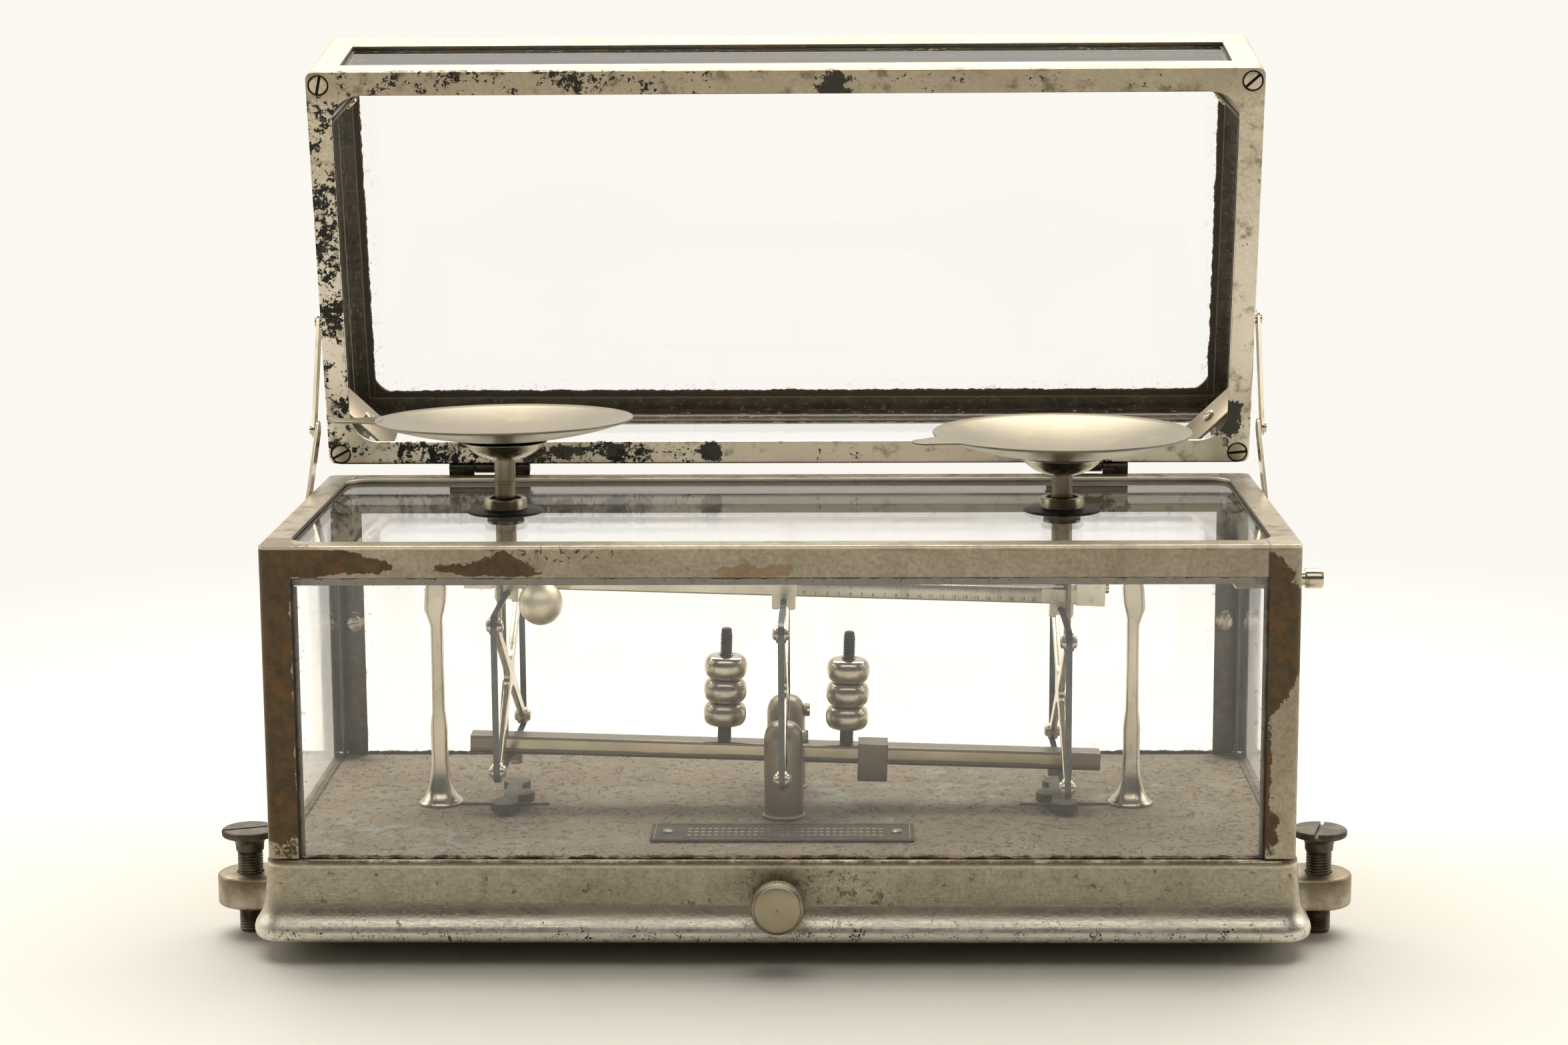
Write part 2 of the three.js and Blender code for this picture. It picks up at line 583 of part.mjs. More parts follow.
place(upperBeam, 'upper_beam', upperBeamSolid(), nickel)
place(upperBeam, 'scale_plate', block([5, -5.1, 2.8], [100, -4.3, 8.4]), nickel)
place(lowerBeam, 'lower_beam', lowerBeamSolid(), darkNickel)
for (const [name, side] of SIDES) {
  const rod = turned([
    [0, LOWER.top + GAP], [3.3, LOWER.top + GAP], [3.3, LOWER.top + 2], [ROD_RADIUS, LOWER.top + 2.4],
    [ROD_RADIUS, 52.2], [1.9, 52.8], [0, 52.8],
  ], 20)
  place(lowerBeam, `${name}_poise_rod`, rod.translate(side * POISE_X, 0, 0), blackened)
  for (const [level, where] of ['lower', 'middle', 'upper'].entries()) {
    const height = NUT.first + level * (NUT.height + GAP)
    const nut = poiseNut().translate(side * POISE_X, 0, height)
    place(lowerBeam, `${name}_${where}_poise_nut`, nut, nickel)
  }
}
{
  const middle = 34.5
  const { bottom, top, half } = LOWER
  const box = block([middle - 5.8, -half - 1.3, bottom - 6.6], [middle + 5.8, half + 1.3, top + 1.3])
  const low = [middle - 10, -half - GAP, bottom - GAP]
  const channel = block(low, [middle + 10, half + GAP, top + GAP])
  place(lowerBeam, 'beam_slider', cut(box, channel), nickel)
}
{
  const ball = new THREE.SphereGeometry(8.5, 16, 10).rotateX(Math.PI / 2).translate(0, -20, -3.7)
  const stud = alongY(pin(1.5, -15, -UPPER.half - GAP, 12))
  place(upperBeam, 'ball_weight', join(ball, stud).translate(-93.1, 0, 3.6), nickel)
}

// ---- End trusses with their bands, and the pans on cup supports that stand on them ----
const FORK = { outer: 3.4, inner: 1.6, legY: 8, legHalf: 1.6, bottom: -64, top: -21, bridge: -26 }
const CUP = { bottom: 16.6, top: 23.4, radius: 16.8 }

// Stem, cup and the two-legged fork that stands astride the upper beam, beside the band.
function panSupport(side) {
  const { inner, outer, legY, legHalf, bottom, top, bridge } = FORK
  const x = [side * inner, side * outer].sort((a, b) => a - b)
  const legs = [-legY, legY].map((y) => block([x[0], y - legHalf, bottom], [x[1], y + legHalf, bridge + 1]))
  const yoke = block([-3.4, -legY - legHalf, bridge], [3.4, legY + legHalf, top])
  const stem = turned([
    [0, top - 1], [STEM_RADIUS, top - 1], [STEM_RADIUS, CUP.bottom - 0.4], [7.2, CUP.bottom],
    [8.8, CUP.bottom + 0.6], [12.2, CUP.bottom + 2.4], [15.6, CUP.top - 1.1],
    [CUP.radius, CUP.top - 0.4], [CUP.radius, CUP.top], [15.8, CUP.top], [11, CUP.top - 3.4],
    [0, CUP.top - 4.8],
  ])
  return join(stem, yoke, ...legs)
}

// Shallow dish with a flat thumb tab at its rim; the middle of its underside is at the origin.
function pan(depth, tabReach, tabTurn) {
  const thickness = 0.9
  const sphere = (PAN_RADIUS ** 2 + depth ** 2) / (2 * depth)
  const dish = (radius) => sphere - Math.sqrt(sphere ** 2 - radius ** 2)
  const radii = [0, 16, 30, 41, PAN_RADIUS]
  const under = radii.map((radius) => [radius, dish(radius)])
  const over = radii.map((radius) => [radius, dish(radius) + thickness]).reverse()
  const bowl = turned([...under, ...over], 36)
  const outline = new THREE.Shape()
  outline.moveTo(PAN_RADIUS - 2.5, -11)
  outline.quadraticCurveTo(PAN_RADIUS + 3, -7.5, tabReach - 5, -6)
  outline.absarc(tabReach - 6, 0, 6, -Math.PI / 2, Math.PI / 2)
  outline.quadraticCurveTo(PAN_RADIUS + 3, 7.5, PAN_RADIUS - 2.5, 11)
  outline.closePath()
  const tab = slab(outline, depth - 0.3, depth + 0.6, 4).rotateZ(tabTurn)
  return join(bowl, tab)
}

const degrees = THREE.MathUtils.degToRad
const PAN_FIT = { // how each pan happens to sit: its depth, its tab, its lean and how high it rides
  left: { depth: 8, reach: 67, turn: Math.PI, leanX: degrees(-1.5), leanY: degrees(-0.4), lift: 0.85 },
  right: { depth: 9.5, reach: 64, turn: degrees(205), leanX: 0, leanY: 0, lift: GAP },
}
const SEAT_DROP = 1.05 // of a pan's middle below the cup's rim it rests on

for (const [name, side] of SIDES) {
  const stand = new THREE.Group()
  const across = side * TRUSS_X * Math.cos(BEAM_TILT)
  stand.position.set(across, 0, -side * TRUSS_X * Math.sin(BEAM_TILT))
  balance.add(stand)
  place(stand, `${name}_truss`, trussFrame().translate(0, 0, BAND_MIDDLE_Z), nickel)
  place(stand, `${name}_band`, torsionBand().translate(0, 0, BAND_MIDDLE_Z), bandSteel)
  place(stand, `${name}_pan_support`, panSupport(side), nickel)
  const fit = PAN_FIT[name]
  const dish = pan(fit.depth, fit.reach, fit.turn).rotateY(fit.leanY).rotateX(fit.leanX)
  place(stand, `${name}_pan`, dish.translate(0, 0, CUP.top - SEAT_DROP + fit.lift), panMetal)
}

// ---- Rider rod, slid in and out through the right pane ----
place(
  balance,
  'rider_rod',
  alongX(turned([
    [0, RIDER.inner], [1.6, RIDER.inner], [1.6, 172], [RIDER.radius, 173], [RIDER.radius, 196.5],
    [3, 197], [3, 199.4], [RIDER.radius, 200], [RIDER.radius, RIDER.outer - 0.8], [3.4, RIDER.outer],
    [0, RIDER.outer],
  ], 24)).translate(0, RIDER.y, RIDER.z),
  darkNickel,
)

export default part
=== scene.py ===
import math

import bmesh
import bpy
from mathutils import Matrix, Vector


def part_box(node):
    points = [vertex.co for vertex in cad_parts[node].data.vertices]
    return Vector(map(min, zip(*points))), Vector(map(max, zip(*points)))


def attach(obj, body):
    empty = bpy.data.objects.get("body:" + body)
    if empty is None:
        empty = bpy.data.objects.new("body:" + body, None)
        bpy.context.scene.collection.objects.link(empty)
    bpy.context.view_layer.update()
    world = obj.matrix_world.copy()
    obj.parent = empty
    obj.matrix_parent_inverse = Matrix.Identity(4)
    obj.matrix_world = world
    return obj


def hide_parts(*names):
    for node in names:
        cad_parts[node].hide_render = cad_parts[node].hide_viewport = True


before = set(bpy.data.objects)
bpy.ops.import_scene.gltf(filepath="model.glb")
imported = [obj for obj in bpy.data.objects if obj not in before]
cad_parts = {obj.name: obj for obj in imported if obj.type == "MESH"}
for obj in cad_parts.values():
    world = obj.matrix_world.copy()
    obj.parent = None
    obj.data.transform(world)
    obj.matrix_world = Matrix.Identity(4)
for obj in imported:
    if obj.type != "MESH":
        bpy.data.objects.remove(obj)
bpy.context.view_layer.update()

MM = 0.001
moved = Matrix.Translation

# ---- Frames of reference: each turns millimetres on its own axes into the row's metres ----
CASE_LOW, CASE_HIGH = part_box("case_frame")
CASE_ORIGIN = Vector((0, (CASE_LOW.y + CASE_HIGH.y) / 2, CASE_HIGH.z))
FLOOR = (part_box("front_pillar")[0].z - CASE_HIGH.z) / MM - 0.3  # the base's top, from the case's top
LID_OPEN = math.radians(79.33)
BEAM_TILT = math.radians(1.75)
TRUSS_X = 108
SCREW_X, SCREW_Y = 203.3, -47  # levelling screws, and the ears that hold them
KNOB_X, KNOB_Z = -0.8, -132.7
POISE_X = 24
POST_X = 136
HOLLOW = (369, 152, 5)  # width, depth and corner radius of the space under the base

CASE = moved(CASE_ORIGIN) @ Matrix.Diagonal((MM, MM, MM, 1))
LID = CASE @ moved((0, 84.4, 2.64)) @ Matrix.Rotation(-LID_OPEN, 4, "X")
UPPER = CASE @ moved((0, 0, -36.4)) @ Matrix.Rotation(BEAM_TILT, 4, "Y")
LOWER = CASE @ moved((0, 0, -101)) @ Matrix.Rotation(BEAM_TILT, 4, "Y")
STAND = {
    "left": UPPER @ moved((-TRUSS_X, 0, 0)) @ Matrix.Rotation(-BEAM_TILT, 4, "Y"),
    "right": UPPER @ moved((TRUSS_X, 0, 0)) @ Matrix.Rotation(-BEAM_TILT, 4, "Y"),
}
STAND = {side: matrix @ moved((0, 0, 36.4)) for side, matrix in STAND.items()}
SIDES = (("left", -1), ("right", 1))


# ---- Mesh tools ----
def in_scene(name, data):
    """New object in the scene for a mesh, text, lamp or camera."""
    made = bpy.data.objects.new(name, data)
    bpy.context.scene.collection.objects.link(made)
    return made


def bent(value, power):
    """Value raised to a power with its sign kept, which squares off a circle's sine and cosine."""
    return math.copysign(abs(value) ** power, value)


def lathe(mesh, profile, sides=48, at=Matrix.Identity(4), bumps=None):
    """Turned solid about Z; the profile of (radius, z) closes through the axis or its bore."""
    rings = []
    for index, (radius, z) in enumerate(profile):
        if radius == 0:
            rings.append([mesh.verts.new(at @ Vector((0, 0, z)))])
            continue
        ring = []
        for step in range(sides):
            angle = 2 * math.pi * step / sides
            grown = radius + (bumps(index, angle) if bumps else 0)
            ring.append(mesh.verts.new(at @ Vector((grown * math.cos(angle), grown * math.sin(angle), z))))
        rings.append(ring)
    pairs = list(zip(rings, rings[1:]))
    if profile[0][0] and profile[-1][0]:
        pairs.append((rings[-1], rings[0]))
    for low, high in pairs:
        for step in range(sides):
            after = (step + 1) % sides
            corners = [
                low[step % len(low)], low[after % len(low)], high[after % len(high)],
                high[step % len(high)],
            ]
            face = list(dict.fromkeys(corners))
            if len(face) > 2:
                mesh.faces.new(face)


def skin(mesh, rings, at=Matrix.Identity(4)):
    """Solid lofted through rings of the same number of points, closed at both ends."""
    made = [[mesh.verts.new(at @ Vector(point)) for point in ring] for ring in rings]
    count = len(made[0])
    for low, high in zip(made, made[1:]):
        for step in range(count):
            after = (step + 1) % count
            mesh.faces.new((low[step], low[after], high[after], high[step]))
    mesh.faces.new(made[0][::-1])
    mesh.faces.new(made[-1])


def prism(mesh, outline, low, high, at=Matrix.Identity(4), edge=0.0):
    """Outline in XY raised from low to high, with its top and bottom edges eased."""
    def ring(z, inset):
        points = []
        for index, (x, y) in enumerate(outline):
            before = Vector(outline[index - 1])
            after = Vector(outline[(index + 1) % len(outline)])
            along = (after - before).normalized()
            inward = Vector((-along.y, along.x))
            points.append((x + inward.x * inset, y + inward.y * inset, z))
        return points

    if edge:
        rings = [ring(low, edge), ring(low + edge * 0.4, edge * 0.3), ring(low + edge, 0)]
        rings += [ring(high - edge, 0), ring(high - edge * 0.4, edge * 0.3), ring(high, edge)]
    else:
        rings = [ring(low, 0), ring(high, 0)]
    skin(mesh, rings, at)


def rounded(width, depth, radius, middle=(0, 0), steps=6):
    """Outline of a rectangle with round corners, anticlockwise."""
    points = []
    for quarter, (x, y) in enumerate(((1, 1), (-1, 1), (-1, -1), (1, -1))):
        corner = Vector((x * (width / 2 - radius), y * (depth / 2 - radius)))
        for step in range(steps + 1):
            angle = math.pi / 2 * (quarter + step / steps)
            points.append((
                middle[0] + corner.x + radius * math.cos(angle),
                middle[1] + corner.y + radius * math.sin(angle),
            ))
    return points


def eased(outline, cuts, steps=5):
    """Outline with each corner replaced by a curve that starts the given distance away."""
    points = []
    for index, corner in enumerate(outline):
        here = Vector(corner)
        cut = cuts[index] if isinstance(cuts, (list, tuple)) else cuts
        before = here + (Vector(outline[index - 1]) - here).normalized() * cut
        after = here + (Vector(outline[(index + 1) % len(outline)]) - here).normalized() * cut
        for step in range(steps + 1):
            t = step / steps
            points.append(tuple(before * (1 - t) ** 2 + here * 2 * t * (1 - t) + after * t ** 2))
    return points


def sweep(mesh, path, half_wide, half_thick, at=Matrix.Identity(4), across=Vector((1, 0, 0)), sides=10):
    """Bar of rounded section along a path; across is the section's wide direction."""
    rings = []
    for index, point in enumerate(path):
        here = Vector(point)
        along = (Vector(path[min(index + 1, len(path) - 1)]) - Vector(path[max(index - 1, 0)])).normalized()
        side = (across - along * across.dot(along)).normalized()
        up = along.cross(side)
        wide = half_wide[index] if isinstance(half_wide, (list, tuple)) else half_wide
        thick = half_thick[index] if isinstance(half_thick, (list, tuple)) else half_thick
        ring = []
        for step in range(sides):
            angle = 2 * math.pi * step / sides
            c, s = math.cos(angle), math.sin(angle)
            ring.append(here + side * wide * bent(c, 0.55) + up * thick * bent(s, 0.55))
        rings.append(ring)
    skin(mesh, rings, at)


def smooth_path(points, steps=6):
    """Points along a smooth curve through the given ones."""
    path = []
    ends = [points[0], *points, points[-1]]
    for index in range(1, len(ends) - 2):
        a, b, c, d = (Vector(p) for p in ends[index - 1:index + 3])
        for step in range(steps):
            t = step / steps
            path.append(0.5 * (2 * b + (c - a) * t + (2 * a - 5 * b + 4 * c - d) * t ** 2
                               + (3 * b - a - 3 * c + d) * t ** 3))
    path.append(Vector(points[-1]))
    return path


def threads(mesh, radius, depth, pitch, low, high, at=Matrix.Identity(4), sides=28):
    """Screw thread with a true helix, tapered out at both ends."""
    count = int((high - low) / pitch * 6)
    rings = []
    for level in range(count + 1):
        z = low + (high - low) * level / count
        fade = min(1, (z - low) / pitch, (high - z) / pitch)
        ring = []
        for step in range(sides):
            angle = 2 * math.pi * step / sides
            wave = (z / pitch - step / sides) % 1
            tooth = abs(2 * wave - 1)
            r = radius - depth * (1 - fade * tooth)
            ring.append((r * math.cos(angle), r * math.sin(angle), z))
        rings.append(ring)
    skin(mesh, rings, at)


def screw_head(mesh, radius, height, at, turn=0.0, cut=0.5):
    """Round, slightly domed screw head with a slot; its underside is at the frame's origin."""
    slot = radius * 0.16
    rows = []
    for half in (-1, 1):
        start = math.asin(slot / radius)
        outline = []
        for step in range(17):
            angle = start + (math.pi - 2 * start) * step / 16
            outline.append((radius * math.cos(angle), half * radius * math.sin(angle)))
        if half < 0:
            outline = outline[::-1]
        rows.append(outline)
    turned = at @ Matrix.Rotation(turn, 4, "Z")
    lathe(mesh, [(0, 0), (radius, 0), (radius, height * (1 - cut)), (0, height * (1 - cut))], 32, turned)
    for outline in rows:
        middle = Vector((sum(p[0] for p in outline), sum(p[1] for p in outline))) / len(outline)
        rings = []
        for z, shrink in (
            (height * (1 - cut) - 0.05, 1), (height * 0.8, 0.99), (height * 0.95, 0.93), (height, 0.82),
        ):
            rings.append([
                (x * shrink, max(y * shrink, slot) if middle.y > 0 else min(y * shrink, -slot), z)
                for x, y in outline
            ])
        skin(mesh, rings, turned)


def block(mesh, low, high, at=Matrix.Identity(4), edge=0.4):
    """Box with eased edges between two corners."""
    width, depth = high[0] - low[0], high[1] - low[1]
    middle = ((high[0] + low[0]) / 2, (high[1] + low[1]) / 2)
    edge = min(edge, width / 3, depth / 3, (high[2] - low[2]) / 3)
    prism(mesh, rounded(width, depth, edge, middle, 2), low[2], high[2], at, edge)


def along(axis, x=0.0, y=0.0, z=0.0):
    """Frame at a place whose Z points along an axis, such as "+x" or "-y"."""
    turns = {
        "+x": Matrix.Rotation(math.pi / 2, 4, "Y"),
        "-x": Matrix.Rotation(-math.pi / 2, 4, "Y"),
        "+y": Matrix.Rotation(-math.pi / 2, 4, "X"),
        "-y": Matrix.Rotation(math.pi / 2, 4, "X"),
        "+z": Matrix.Identity(4),
        "-z": Matrix.Rotation(math.pi, 4, "X"),
    }
    return moved((x, y, z)) @ turns[axis]


def combine(mesh, operation, *tools):
    """Joins the tools' solids to a mesh, or cuts them out of it."""
    body = in_scene("body", bpy.data.meshes.new("body"))
    bmesh.ops.recalc_face_normals(mesh, faces=mesh.faces)
    mesh.to_mesh(body.data)
    for tool in tools:
        bmesh.ops.recalc_face_normals(tool, faces=tool.faces)
        cutter = in_scene("tool", bpy.data.meshes.new("tool"))
        tool.to_mesh(cutter.data)
        tool.free()
        cutting = body.modifiers.new("combine", "BOOLEAN")
        cutting.operation = operation
        cutting.solver = "EXACT"
        cutting.object = cutter
        depsgraph = bpy.context.evaluated_depsgraph_get()
        result = bpy.data.meshes.new_from_object(body.evaluated_get(depsgraph))
        body.modifiers.clear()
        body.data = result
        bpy.data.objects.remove(cutter)
    mesh.clear()
    mesh.from_mesh(body.data)
    bpy.data.objects.remove(body)


PIECES = {}


def piece(name, mesh, frame_of, body, replaced=(), sharp=35, edge=0.0):
    """Finishes a mesh drawn in a frame's millimetres as a piece on a body."""
    bmesh.ops.recalc_face_normals(mesh, faces=mesh.faces)
    mesh.transform(frame_of)
    data = bpy.data.meshes.new(name)
    mesh.to_mesh(data)
    mesh.free()
    made = in_scene(name, data)
    return finished(made, name, body, replaced, sharp, edge)


def finished(made, name, body, replaced, sharp, edge):
    if edge:
        bevel = made.modifiers.new("eased edges", "BEVEL")
        bevel.width = edge * MM
        bevel.segments = 3
        bevel.limit_method = "ANGLE"
        bevel.angle_limit = math.radians(sharp)
        bevel.harden_normals = False
    made.data.shade_smooth()
    made.data.set_sharp_from_angle(angle=math.radians(sharp))
    if edge:
        weights = made.modifiers.new("even shading", "WEIGHTED_NORMAL")
        weights.keep_sharp = True
    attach(made, body)
    if replaced:
        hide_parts(*replaced)
    PIECES[name] = made
    return made


def detail(node, mesh, frame_of, body, slot, sharp, edge=0.0):
    """A finer piece standing for one CAD node and named after it."""
    return piece(f"{node}_detail", mesh, frame_of, body, (node,), sharp, edge)


def eased_copy(node, body, edge, sharp=35, recesses=()):
    """A CAD node's own shape with its edges eased and any recesses sunk, standing for that node."""
    name = f"{node}_eased"
    mesh = bmesh.new()
    mesh.from_mesh(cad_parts[node].data)
    bmesh.ops.remove_doubles(mesh, verts=mesh.verts, dist=2e-6)
    bmesh.ops.dissolve_limit(mesh, angle_limit=math.radians(0.5), verts=mesh.verts, edges=mesh.edges)
    if recesses:
        combine(mesh, "DIFFERENCE", *recesses)
    data = bpy.data.meshes.new(name)
    mesh.to_mesh(data)
    mesh.free()
    made = in_scene(name, data)
    return finished(made, name, body, (node,), sharp, edge)


# ---- Materials: every texture works in millimetres on the piece's own frame ----
def tone(code):
    """Linear colour of a web colour code."""
    values = []
    for shift in (16, 8, 0):
        value = (code >> shift & 255) / 255
        values.append(value / 12.92 if value <= 0.04045 else ((value + 0.055) / 1.055) ** 2.4)
    return (*values, 1)


class Paint:
    """One material's nodes, joined up by short calls."""

    def __init__(self, name, frame_of=CASE):
        self.material = bpy.data.materials.new(name)
        self.material.use_nodes = True
        self.tree = self.material.node_tree
        self.tree.nodes.clear()
        coordinates = self.add("ShaderNodeTexCoord")
        place, turn, size = frame_of.decompose()
        self.mm = self.add(
            "ShaderNodeMapping", {"Vector": coordinates.outputs["Object"]}, vector_type="TEXTURE"
        )
        self.mm.inputs["Location"].default_value = place
        self.mm.inputs["Rotation"].default_value = turn.to_euler()
        self.mm.inputs["Scale"].default_value = size
        self.mm = self.mm.outputs["Vector"]
        self.facing = self.add(
            "ShaderNodeMapping", {"Vector": coordinates.outputs["Normal"]}, vector_type="TEXTURE"
        )
        self.facing.inputs["Rotation"].default_value = turn.to_euler()
        self.facing = self.facing.outputs["Vector"]
        parts = self.add("ShaderNodeSeparateXYZ", {0: self.mm})
        self.x, self.y, self.z = parts.outputs

    def add(self, kind, inputs=(), **settings):
        made = self.tree.nodes.new(kind)
        for key, value in settings.items():
            setattr(made, key, value)
        for key, value in dict(inputs).items():
            self.put(made.inputs[key], value)
        return made

    def put(self, socket, value):
        if isinstance(value, bpy.types.NodeSocket):
            self.tree.links.new(value, socket)
        elif socket.type == "RGBA" and isinstance(value, int):
            socket.default_value = tone(value)
        else:
            socket.default_value = value

    def calc(self, operation, *values):
        made = self.add("ShaderNodeMath", dict(enumerate(values)), operation=operation)
        return made.outputs[0]

    def vector(self, operation, *values):
        made = self.add("ShaderNodeVectorMath", dict(enumerate(values)), operation=operation)
        return made.outputs[0]

    def plus(self, first, second):
        return self.calc("ADD", first, second)

    def minus(self, first, second):
        return self.calc("SUBTRACT", first, second)

    def size(self, value):
        return self.calc("ABSOLUTE", value)

    def most(self, *values):
        result = values[0]
        for value in values[1:]:
            result = self.calc("MAXIMUM", result, value)
        return result

    def product(self, *values):
        result = values[0]
        for value in values[1:]:
            result = self.calc("MULTIPLY", result, value)
        return result

    def stretched(self, x=1.0, y=1.0, z=1.0):
        return self.vector("MULTIPLY", self.mm, (x, y, z))

    def noise(self, size, detail=4.0, roughness=0.55, shift=0.0, where=None):
        shifted = self.add("ShaderNodeVectorMath", {0: where or self.mm, 1: (shift,) * 3}, operation="ADD")
        inputs = {"Vector": shifted.outputs[0], "Scale": 1 / size, "Detail": detail, "Roughness": roughness}
        return self.add("ShaderNodeTexNoise", inputs).outputs["Fac"]

    def ease(self, value, start, end, low=0.0, high=1.0):
        """Value turned smoothly from low at start to high at end; start may be the larger."""
        inputs = {"Value": value, "From Min": start, "From Max": end, "To Min": low, "To Max": high}
        made = self.add("ShaderNodeMapRange", inputs, interpolation_type="SMOOTHSTEP", clamp=True)
        return made.outputs["Result"]

    def blob(self, centre, radii, rag=0.5, size=9.0, shift=0.0):
        """Ragged patch: 1 inside an ellipsoid, 0 outside."""
        offset = self.vector("SUBTRACT", self.mm, centre)
        scaled = self.vector("DIVIDE", offset, radii)
        reach = self.add("ShaderNodeVectorMath", {0: scaled}, operation="LENGTH").outputs["Value"]
        return self.ease(self.plus(reach, self.ragged(size, rag, shift)), 1.03, 0.99)

    def ragged(self, size, rag, shift=0.0):
        """Offset from -rag to rag, with broad lobes and small teeth."""
        broad = self.calc("MULTIPLY_ADD", self.noise(size, 3, 0.5, shift), 4 * rag, -2 * rag)
        teeth = self.calc("MULTIPLY_ADD", self.noise(size / 5, 5, 0.7, shift + 9), 2.4 * rag, -1.2 * rag)
        return self.plus(broad, teeth)

    def line(self, value, slope, start):
        return self.calc("MULTIPLY_ADD", value, slope, start)

    def blend(self, amount, under, over):
        made = self.add("ShaderNodeMix", data_type="RGBA", blend_type="MIX")
        self.put(made.inputs[0], amount)
        self.put(made.inputs[6], under)
        self.put(made.inputs[7], over)
        return made.outputs[2]

    def mix(self, amount, under, over):
        made = self.add("ShaderNodeMix", data_type="FLOAT")
        self.put(made.inputs[0], amount)
        self.put(made.inputs[2], under)
        self.put(made.inputs[3], over)
        return made.outputs[0]

    def inside(self, centre):
        """1 on faces that look towards a centre, as a hollow's walls do."""
        offset = self.vector("SUBTRACT", self.mm, centre)
        inputs = {0: offset, 1: self.facing}
        towards = self.add("ShaderNodeVectorMath", inputs, operation="DOT_PRODUCT").outputs["Value"]
        return self.ease(towards, 0.5, -0.5)

    def done(self, colour, metal, rough, height=None, depth=0.1, alpha=None):
        shader = self.add("ShaderNodeBsdfPrincipled")
        self.put(shader.inputs["Base Color"], colour)
        self.put(shader.inputs["Metallic"], metal)
        self.put(shader.inputs["Roughness"], rough)
        if height is not None:
            inputs = {"Height": height, "Distance": depth * MM, "Strength": 1.0}
            bump = self.add("ShaderNodeBump", inputs)
            self.put(shader.inputs["Normal"], bump.outputs[0])
        surface = shader.outputs[0]
        if alpha is not None:
            clear = self.add("ShaderNodeBsdfTransparent")
            surface = self.add("ShaderNodeMixShader", {0: alpha, 1: clear.outputs[0], 2: surface}).outputs[0]
        out = self.add("ShaderNodeOutputMaterial")
        self.put(out.inputs["Surface"], surface)
        return self.material


NICKEL = 0xABA08B
NICKEL_DULL = 0x857A66
TARNISH = 0x5E533F
PIT = 0x24241C
BLOOM = 0x9FA9A0


def nickel(p, mottled=22.0, dull=0.5, colour=NICKEL, deep=NICKEL_DULL):
    """Colour, roughness and relief of hand-worn satin nickel plate."""
    broad = p.ease(p.noise(mottled, 5, 0.6), 0.3, 0.72)
    fine = p.ease(p.noise(1.6, 4, 0.6, 31), 0.35, 0.7)
    cloud = p.ease(p.noise(6, 4, 0.62, 77), 0.4, 0.75)
    base = p.blend(p.product(broad, dull), colour, deep)
    base = p.blend(p.product(fine, 0.22), base, TARNISH)
    base = p.blend(p.product(cloud, 0.18), base, TARNISH)
    scratch = p.noise(0.5, 3, 0.6, 5, p.stretched(0.05, 0.6, 1.0))
    rough = p.plus(p.mix(broad, 0.3, 0.42), p.calc("MULTIPLY_ADD", fine, 0.1, -0.03))
    relief = p.plus(p.product(fine, 0.25), p.product(scratch, 0.35))
    return base, rough, relief


def layer(p, under, amount, colour, metal, rough, lift):
    """Puts a film, stain, pit, painted highlight or painted shade over the layers so far: (colour, metal,
    roughness, relief).
    """
    return (
        p.blend(amount, under[0], colour),
        p.mix(amount, under[1], metal),
        p.mix(amount, under[2], rough),
        p.plus(under[3], p.product(amount, lift)),
    )


def pits(p, amount, size=2.2, shift=0.0):
    """Clustered dark pits; amount is a 0 to 1 socket or number that says how thick they lie."""
    cluster = p.noise(size * 6, 4, 0.6, 13 + shift)
    spots = p.noise(size, 5, 0.68, 51 + shift)
    level = p.plus(p.calc("MULTIPLY_ADD", cluster, 0.55, -0.27), spots)
    edge = p.mix(amount, 0.86, 0.5)
    return p.ease(p.minus(level, edge), -0.012, 0.02)


def near_edge(p, value, edge, width):
    return p.ease(p.size(p.minus(value, edge)), width, 0)


